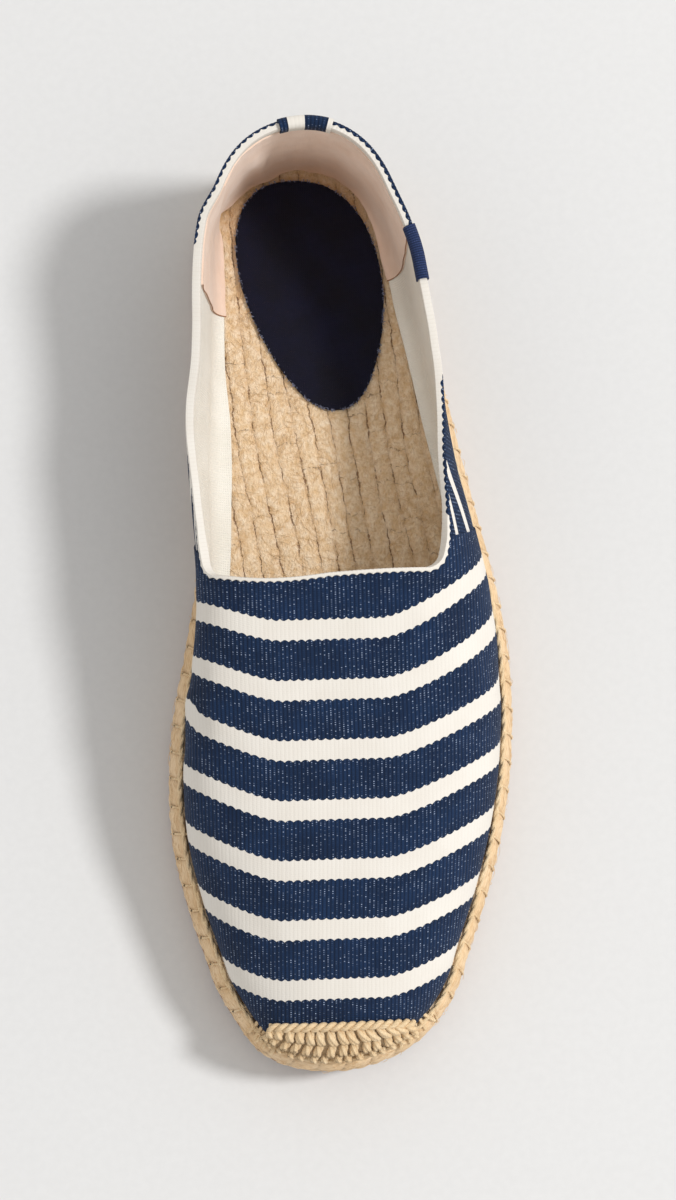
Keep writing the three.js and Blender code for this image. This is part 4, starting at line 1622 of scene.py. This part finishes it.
@dataclass(frozen=True)
class Trim:
    """What finishes the upper's edge: its binding, the heel tape and the plain tag."""

    rib: float = 2.4
    per_rib: int = 8
    collar_width: float = 0.35
    throat_widths: tuple[float, float, float] = (0.6, 0.45, 0.35)
    tooth: float = 0.5
    inner_leg: float = 3.8
    tape_half: float = 8.2
    tag_from: float = 33.3
    tag_to: float = 49.3
    tag_steps: int = 24
    tag_down: float = 8.5

    def rail(self) -> Rail:
        """The edge all round the opening: along the outer collar, over the throat and back."""
        corner = FORM.throat_turn
        side = corner * np.sin(np.pi / 2 * np.linspace(0, 1, 260))
        climb = np.linspace(0, 1, 70)[1:]
        throat = np.full(len(climb), corner)
        back = 1 - side[::-1][1:]
        start, end = (float(f(np.array(corner))) for f in (FORM.collar, FORM.full))
        start_in, end_in = (float(f(np.array(1 - corner))) for f in (FORM.collar, FORM.full))
        turn = np.concatenate([side, throat, 1 - throat, back])
        up = [FORM.collar(side), mix(start, end, climb), mix(end_in, start_in, climb), FORM.collar(back)]
        length = np.concatenate(up)
        left, centre, right = self.throat_widths
        widen = smoothstep(FORM.station(side), 116.0, 134.0)
        wide = [
            mix(self.collar_width, left, widen),
            mix(left, centre, climb),
            mix(centre, right, climb),
            mix(self.collar_width, right, widen)[::-1][1:],
        ]
        over = smoothstep(FORM.station(side), 120.0, 127.0)
        lap = [over, 1 - smoothstep(climb, 0.0, 0.35), smoothstep(climb, 0.65, 1.0), over[::-1][1:]]
        far = FORM.station(side)
        outer = 2.0 - 6.0 * smoothstep(far, 46.0, 52.0) + 5.6 * smoothstep(far, 70.0, 80.0)
        outer = outer - 6.0 * smoothstep(far, 118.0, 124.0)
        inner = 1.7 - 6.0 * smoothstep(far, 37.0, 44.0)
        cream = np.full(len(climb), -5.0)
        navy = [outer, cream, cream, inner[::-1][1:]]
        points, out = FORM.surface(turn, length), FORM.normal(turn, length)
        total = running(points)[-1]
        count = round(total / self.rib) * self.per_rib
        line, x, y, z, *along = spaced(points, count + 1, *out.T, *map(np.concatenate, (wide, lap, navy)))
        line, out = line[:-1], unit(np.stack([x, y, z], -1)[:-1])
        tangent = unit(np.roll(line, -2, 0) - np.roll(line, 2, 0))
        into = unit(np.cross(out, tangent))
        return Rail(line, out, into, np.arange(count) * total / count, *(value[:-1] for value in along))

    def binding(self, finishes: Finishes) -> None:
        """A folded edge with a C section; its outer lip has teeth, cusps between half circles."""
        rail = self.rail()
        turnings = np.pi * np.arange(len(rail.far)) / self.per_rib
        tooth = self.tooth * (1 - np.abs(np.sin(turnings)))
        lip = (rail.width + tooth)[:, None]
        puff = (0.08 * np.abs(np.sin(2 * turnings)))[:, None]
        deep, none = self.inner_leg, lip * 0
        section = [
            (lip, none + 0.04),
            (lip - 0.12, none + 0.35),
            (lip * 0.55, puff + 0.38),
            (lip * 0.15, puff + 0.38),
            (-0.35 - puff, puff + 0.2),
            (-0.5 - puff, none - 0.9),
            (-0.42 - puff, none - 1.85),
            (none + 0.25, none - 2.15),
            (none + 0.5 * deep, none - 2.1),
            (none + deep, none - 1.95),
            (none + deep, none - 1.84),
            (none + 0.2, none - 1.82),
            (none - 0.15, none - 0.9),
            (lip * 0.2, none + 0.02),
        ]
        down, high = (np.concatenate(side, 1) for side in zip(*section))
        high[:, [0, 1, 2, 3, 4, 13]] += 0.55 * rail.lap[:, None]
        into, out = rail.into[:, None], rail.out[:, None]
        points = rail.points[:, None] + into * down[..., None] + out * high[..., None]
        around = np.broadcast_to(running(np.stack([down[0], high[0]], -1))[None], down.shape)
        cloth = np.stack([np.broadcast_to(rail.far[:, None], down.shape), around], -1)
        body = ring_body("edge_binding", points, cloth)
        body.extra["cream"] = (around - rail.navy[:, None]).ravel()
        body.build(finishes.binding, "canvas")

    def folded(self, name: str, turn: Array, outside: Array, inside: float, finish: Material) -> None:
        """A strip laid up the outside, over the edge and down inside.

        Args:
            name: the piece's name.
            turn: turns across the strip.
            outside: how far down the outside it reaches, at each turn.
            inside: how far down the inside it reaches.
            finish: its material.
        """
        rise = np.array([1.0, 0.35, 3.2, 1.6, 0.3, -0.6, -1.25, -1.45, -1.25, -0.6, 0.3, 1.4, inside])
        high = np.array([0.08, 0.12, 0.45, 0.75, 0.85, 0.7, 0.05, -0.8, -1.8, -2.35, -2.5, -2.5, -2.35])
        straight = np.linspace(0, 1, 24)[:, None]
        down = [mix(outside[None], 3.2, straight[:-1]), *(np.full((1, len(turn)), v) for v in rise[2:])]
        proud = [mix(0.12, 0.45, straight[:-1]) + 0 * turn, *(np.full((1, len(turn)), v) for v in high[2:])]
        down, proud = np.concatenate(down).T, np.concatenate(proud).T
        wide = np.broadcast_to(turn[:, None], down.shape)
        edge = FORM.collar(wide)
        length = np.clip(edge - down, 0, None)
        out = FORM.normal(wide, length)
        middle = FORM.surface(wide, length) + out * proud[..., None]
        square = unit(np.cross(np.gradient(middle, axis=0), np.gradient(middle, axis=1)))
        if np.sum(square[:, 3] * out[:, 3]) < 0:
            square = -square
        across = running(FORM.surface(turn, FORM.collar(turn)))
        along = travelled(middle)
        cloth = np.stack([np.broadcast_to(across[:, None], along.shape), along], -1)
        sheet = Sheet(middle + square * 0.25, middle - square * 0.2, cloth)
        shell(name, [sheet]).build(finish, "canvas")

    def build(self, finishes: Finishes) -> None:
        """Every piece of the trim."""
        self.binding(finishes)
        probe = np.linspace(-0.03, 0.03, 241)
        reach = running(FORM.surface(probe, FORM.collar(probe)))
        want = reach[120] + np.linspace(-self.tape_half, self.tape_half, 41)
        turn = np.interp(want, reach, probe)
        self.folded("heel_tape", turn, FORM.collar(turn), 3.6, finishes.tape)
        turn = np.linspace(FORM.turn_at(self.tag_from), FORM.turn_at(self.tag_to), self.tag_steps)
        self.folded("side_tag", turn, np.full(self.tag_steps, self.tag_down), 1.9, finishes.tag)


class CapRow(NamedTuple):
    """A row of stitches on the toe cap.

    It holds their count, the shares of the cap at which they start and end, how many stitches they
    lean by, and the radius of a strand.
    """

    count: int
    top: float
    foot: float
    slant: float
    fat: float


@dataclass(frozen=True)
class ToeCap:
    """The crocheted jute cap on the toe: a slab, a twisted cord and rows of stitches."""

    edge: float = 265.0
    foot: float = 266.5
    pitch: float = 3.1
    rows: tuple[CapRow, ...] = (
        CapRow(15, 0.10, 0.45, 0.6, 0.84),
        CapRow(15, 0.42, 0.74, -0.12, 0.76),
        CapRow(16, 0.72, 0.99, 0.0, 0.66),
    )
    end_rail: tuple[tuple[float, float], ...] = (
        (-6.6, 22.6),
        (-5.2, 21.6),
        (-3.8, 20.2),
        (-2.2, 18.9),
        (-1.2, 17.4),
    )
    end_stitches: int = 12
    end_steps: int = 8
    cord_steps: int = 420
    cord_share: float = 0.045
    cord_height: float = 1.35
    cord_pitch: float = 5.6
    cord_twist: float = 0.66
    cord_strand: float = 0.8

    def first_turn(self) -> float:
        """Turn whose rib's foot is at the cap's end, found by halving."""
        low, high = 0.4, 0.5
        for _ in range(40):
            middle = (low + high) / 2
            foot = -float(FORM.plan(np.array(middle), -FORM.inset(np.array(middle)))[1])
            low, high = (middle, high) if foot < self.foot else (low, middle)
        return (low + high) / 2

    def reach(self, turn: Array) -> Array:
        """Distance up each rib to the cap's upper edge."""
        points, reach = FORM.ribs(turn)
        below = -points[..., 1] > self.edge
        last = np.clip(below.sum(1), 1, FORM.rib_steps - 1)
        row = np.arange(len(turn))
        a, b = -points[row, last - 1, 1], -points[row, last, 1]
        return mix(reach[row, last - 1], reach[row, last], np.clip((a - self.edge) / (a - b), 0, 1))

    def at(self, place: Array, share: Array, high: Array) -> Array:
        """Points on the cap.

        Args:
            place: 0 to 1 from the outer end to the inner one, evenly along the upper edge.
            share: 0 at the upper edge, 1 at the joint.
            high: height off the upper.

        Returns:
            The points.
        """
        probe = np.linspace(self.first_turn(), 1 - self.first_turn(), 401)
        top = self.reach(probe)
        rail = running(mix(FORM.surface(probe, top), FORM.surface(probe, top * 0.4), 0.5))
        turn = np.interp(place * rail[-1], rail, probe)
        length = np.interp(turn, probe, top) * (1 - share)
        return FORM.proud(turn, np.maximum(length, 0.0), high)

    def slab(self, finishes: Finishes) -> None:
        """The cloth of the cap under its stitches."""
        place, share = np.meshgrid(np.linspace(0, 1, 140), np.linspace(0, 1, 40), indexing="ij")
        rough = 0.12 * lattice(place * 60, share * 16, 41)
        top = self.at(place, share, 1.0 + rough)
        bottom = self.at(place, share, np.full(place.shape, 0.3))
        cloth = np.stack([place * 60, share * 16], -1)
        # Painted shade: the whole slab, lying under the stitches, is darkened half way.
        painted_shade = np.full(place.shape, 0.5)
        made = shell("toe_cap_base", [Sheet(top, bottom, cloth, {"painted_shade": painted_shade})])
        made.build(finishes.strand, "jute", ("toe_cap",))

    def row(self, name: str, row: CapRow, finishes: Finishes) -> None:
        """One row of stitches, each of three strands that turn round one another.

        Args:
            name: the row's name.
            row: what its stitches are like.
            finishes: the materials.
        """
        count, fat = row.count, row.fat
        grown = np.random.default_rng(count)
        step = np.linspace(0, 1, 9)[None]
        first = (np.arange(count)[:, None] + 0.5) / count
        first = first + grown.uniform(-0.12, 0.12, (count, 1)) / count
        middle = mix(row.top, row.foot, step) + grown.uniform(-0.02, 0.02, (count, 1))
        paths = []
        for strand in range(3):
            turned = np.pi * (strand * 2 / 3 + step * 0.8 + 0.2)
            aside = 0.78 * fat * np.cos(turned)
            place = first - row.slant / count * (step - 0.5) + aside / (self.pitch * count)
            high = 1.15 + 0.75 * np.sin(np.pi * step) ** 0.6 + 0.6 * fat * np.sin(turned)
            high = high * np.where((place > 0.004) & (place < 0.996), 1, 0.9)
            paths.append(self.at(np.clip(place, 0.004, 0.996), np.clip(middle, 0, 1.0), high))
        paths = np.concatenate(paths)
        bulge = fat * (0.62 + 0.38 * np.sin(np.pi * step))
        points, faces, cloth = tubes(paths, np.broadcast_to(bulge, paths.shape[:2]), 6, 0.6)
        # Painted shade: each stitch darkens towards its two ends, where it goes down into the cap.
        painted_shade = np.repeat(np.tile(np.abs(step[0] * 2 - 1) ** 3 * 0.35, len(paths)), 6)
        Piece(name, points, faces, cloth, {"painted_shade": painted_shade}).build(finishes.strand, "jute")

    def ends(self, finishes: Finishes) -> None:
        """Stitches at the cap's two ends that hold it down over the sole's rim."""
        grown = np.random.default_rng(71)
        first = self.first_turn()
        back = np.linspace(-0.010, 0.014, self.end_stitches // 2)
        turn = np.concatenate([first + back, 1 - first - back])[:, None]
        turn = turn + grown.uniform(-0.0015, 0.0015, (self.end_stitches, 1))
        rail = spaced(np.array(self.end_rail), self.end_steps)[0]
        lean = grown.uniform(-0.004, 0.004, (self.end_stitches, 1)) * np.linspace(-1, 1, self.end_steps)
        out = rail[:, 0] + grown.uniform(-0.4, 0.3, (self.end_stitches, 1))
        paths = FORM.ring(turn + lean, out, np.broadcast_to(rail[:, 1], out.shape))
        points, faces, cloth = tubes(paths, 0.62, 6, 0.5)
        painted_shade = np.zeros(len(points))
        Piece("toe_cap_ends", points, faces, cloth, {"painted_shade": painted_shade}).build(finishes.strand, "jute")

    def cord(self, finishes: Finishes) -> None:
        """The two-strand cord along the cap's upper edge."""
        along = np.linspace(0, 1, self.cord_steps)
        share, high = np.full(along.shape, self.cord_share), np.full(along.shape, self.cord_height)
        centre = self.at(along, share, high)
        line = spaced(centre, self.cord_steps)[0]
        far = running(line)
        tangent = unit(np.gradient(line, axis=0))
        up = unit(self.at(along, share, high + 1) - centre)
        side = np.cross(tangent, up)
        paths = []
        for strand in range(2):
            angle = (2 * np.pi * far / self.cord_pitch + strand * np.pi)[:, None]
            paths.append(line + self.cord_twist * (np.cos(angle) * side + np.sin(angle) * up))
        points, faces, cloth = tubes(np.stack(paths), self.cord_strand, 8, 0.6)
        made = Piece("toe_cap_cord", points, faces, cloth, {"painted_shade": np.zeros(len(points))})
        made.build(finishes.strand, "jute")

    def build(self, finishes: Finishes) -> None:
        """Every piece of the cap."""
        self.slab(finishes)
        self.cord(finishes)
        for number, row in enumerate(self.rows, 1):
            self.row(f"toe_cap_row_{number}", row, finishes)
        self.ends(finishes)


@dataclass(frozen=True)
class HeelPad:
    """The bare dark pad glued on the footbed, with a frayed edge."""

    back: float = 8.8
    front: float = 80.4
    half: float = 21.1
    fullness: float = 0.8
    taper: float = 0.22
    pinch: float = 0.06
    back_x: float = -2.1
    front_x: float = 8.4
    edge_steps: int = 360
    threads: int = 300
    profile: tuple[tuple[float, float], ...] = (
        (0, 0.0),
        (0.5, 0.0),
        (1, 0.0),
        (1.004, 0.35),
        (0.998, 0.8),
        (0.985, 1.0),
    )

    def outline(self, angle: Array, out: Array) -> Array:
        """The pad's egg shape: a full ellipse, narrower towards the front, on a slanting line."""
        share = -np.cos(angle)
        half = self.half * (1 - self.taper * share - self.pinch * share**2) + out
        station = (self.back + self.front) / 2 + ((self.front - self.back) / 2 + out) * share
        centre = mix(self.back_x, self.front_x, (station - self.back) / (self.front - self.back))
        aside = np.sign(np.sin(angle)) * np.abs(np.sin(angle)) ** self.fullness
        return np.stack([centre + half * aside, -station], -1)

    def build(self, finishes: Finishes) -> None:
        """The pad: rings from its middle below, round its edge, to its middle above; then its threads."""
        angle = np.arange(self.edge_steps) * np.pi / 180
        seat = FORM.sole_top + FORM.gap
        wave = 0.16 * lattice(angle * 40, angle * 0, 51)
        centre = self.outline(angle, np.full(self.edge_steps, -self.half)).mean(0)
        crown = [(s, 1.0 + 0.14 * (1 - s**4)) for s in (0.95, 0.85, 0.7, 0.5, 0.3, 0.15, 0.0)]
        edge = self.outline(angle, wave)
        points = []
        for share, height in (*self.profile, *crown):
            flat = mix(centre, edge, share)
            rough = 0.07 * lattice(flat[:, 0] / 3.0, flat[:, 1] / 3.0, 52) * (share < 0.98) * (height > 0.5)
            points.append(np.concatenate([flat, (seat + height + rough)[:, None]], -1))
        points = np.stack(points, 1)
        made = ring_body("heel_pad_cloth", points, points[..., :2], round_profile=False)
        made.build(finishes.pad, "pad_cloth", ("heel_pad",))
        self.fray(finishes, seat + 1.05)

    def fray(self, finishes: Finishes, top: float) -> None:
        """The threads that stick out of the pad's edge."""
        grown = np.random.default_rng(61)
        step = np.linspace(0, 1, 4)
        one = (self.threads, 1)
        at = grown.uniform(0, 2 * np.pi, one) + grown.uniform(-0.01, 0.01, one) * step
        out = grown.uniform(-0.5, 0.0, one) + grown.uniform(0.2, 0.9, one) * step
        height = top - grown.uniform(0.0, 0.6, one) * step
        paths = np.concatenate([self.outline(at, out), height[..., None]], -1)
        points, faces, cloth = tubes(paths, 0.11, 4, 0.6)
        Piece("heel_pad_threads", points, faces, cloth).build(finishes.fray, "pad_cloth")


@dataclass(frozen=True)
class Studio:
    """The pale floor, the soft light and the camera."""

    eye: tuple[float, float, float] = (-0.0569, -0.1458, 1.0)
    image_up: tuple[float, float, float] = (0.0384, 0.9993, 0.0)
    aim_height: float = 0.025
    lens: float = 99.0
    key_from: tuple[float, float, float] = (2.15, 0.2, 2.7)
    key_size: float = 0.62
    key_power: float = 78.0
    key_colour: tuple[float, float, float] = (1.0, 0.99, 0.975)
    sky: float = 0.7
    sky_colour: tuple[float, float, float, float] = (1.0, 0.975, 0.945, 1.0)
    floor_half: float = 3.0
    floor_thickness: float = 0.02

    def floor(self) -> None:
        """A wide thin slab under the shoe."""
        mesh = bpy.data.meshes.new("pale_floor")
        half = self.floor_half
        around = ((-half, -half), (half, -half), (half, half), (-half, half))
        corners = [(x, y, z) for z in (-self.floor_thickness, 0.0) for x, y in around]
        faces = [(0, 3, 2, 1), (4, 5, 6, 7), (0, 1, 5, 4), (1, 2, 6, 5), (2, 3, 7, 6), (3, 0, 4, 7)]
        mesh.from_pydata(corners, [], faces)
        mesh.materials.append(Paper().material())
        floor = bpy.data.objects.new("pale_floor", mesh)
        bpy.context.scene.collection.objects.link(floor)

    def lights(self) -> None:
        """One large soft light from the right, and an even sky."""
        data = bpy.data.lights.new("key", "AREA")
        data.shape = "DISK"
        data.size = self.key_size
        data.energy = self.key_power
        data.color = self.key_colour
        key = bpy.data.objects.new("key", data)
        key.location = self.key_from
        key.rotation_mode = "QUATERNION"
        key.rotation_quaternion = (-Vector(self.key_from)).to_track_quat("-Z", "Y")
        bpy.context.scene.collection.objects.link(key)
        world = bpy.data.worlds.new("sky")
        world.use_nodes = True
        background = world.node_tree.nodes["Background"]
        background.inputs["Color"].default_value = self.sky_colour
        background.inputs["Strength"].default_value = self.sky
        bpy.context.scene.world = world
        bpy.context.scene.view_settings.view_transform = "Standard"

    def camera(self) -> None:
        """Looks down on the shoe from a metre up, a little from its toe and its inner side."""
        data = bpy.data.cameras.new("camera")
        data.lens = self.lens
        data.sensor_width = 36.0
        data.clip_start, data.clip_end = 0.05, 20.0
        camera = bpy.data.objects.new("camera", data)
        eye = Vector(self.eye)
        forward = (Vector((0.0, 0.0, self.aim_height)) - eye).normalized()
        right = forward.cross(Vector(self.image_up)).normalized()
        up = right.cross(forward)
        turn = Matrix((right, up, -forward)).transposed()
        camera.matrix_world = Matrix.Translation(eye) @ turn.to_4x4()
        bpy.context.scene.collection.objects.link(camera)
        bpy.context.scene.camera = camera


def main() -> None:
    """Builds the studio and every sub-assembly."""
    logging.basicConfig(level=logging.INFO, format="%(name)s: %(message)s")
    studio = Studio()
    studio.camera()
    studio.lights()
    studio.floor()
    finishes = Finishes.make()
    Sole().build(finishes)
    Upper().build(finishes)
    Trim().build(finishes)
    ToeCap().build(finishes)
    HeelPad().build(finishes)


if __name__ == "__main__":
    main()
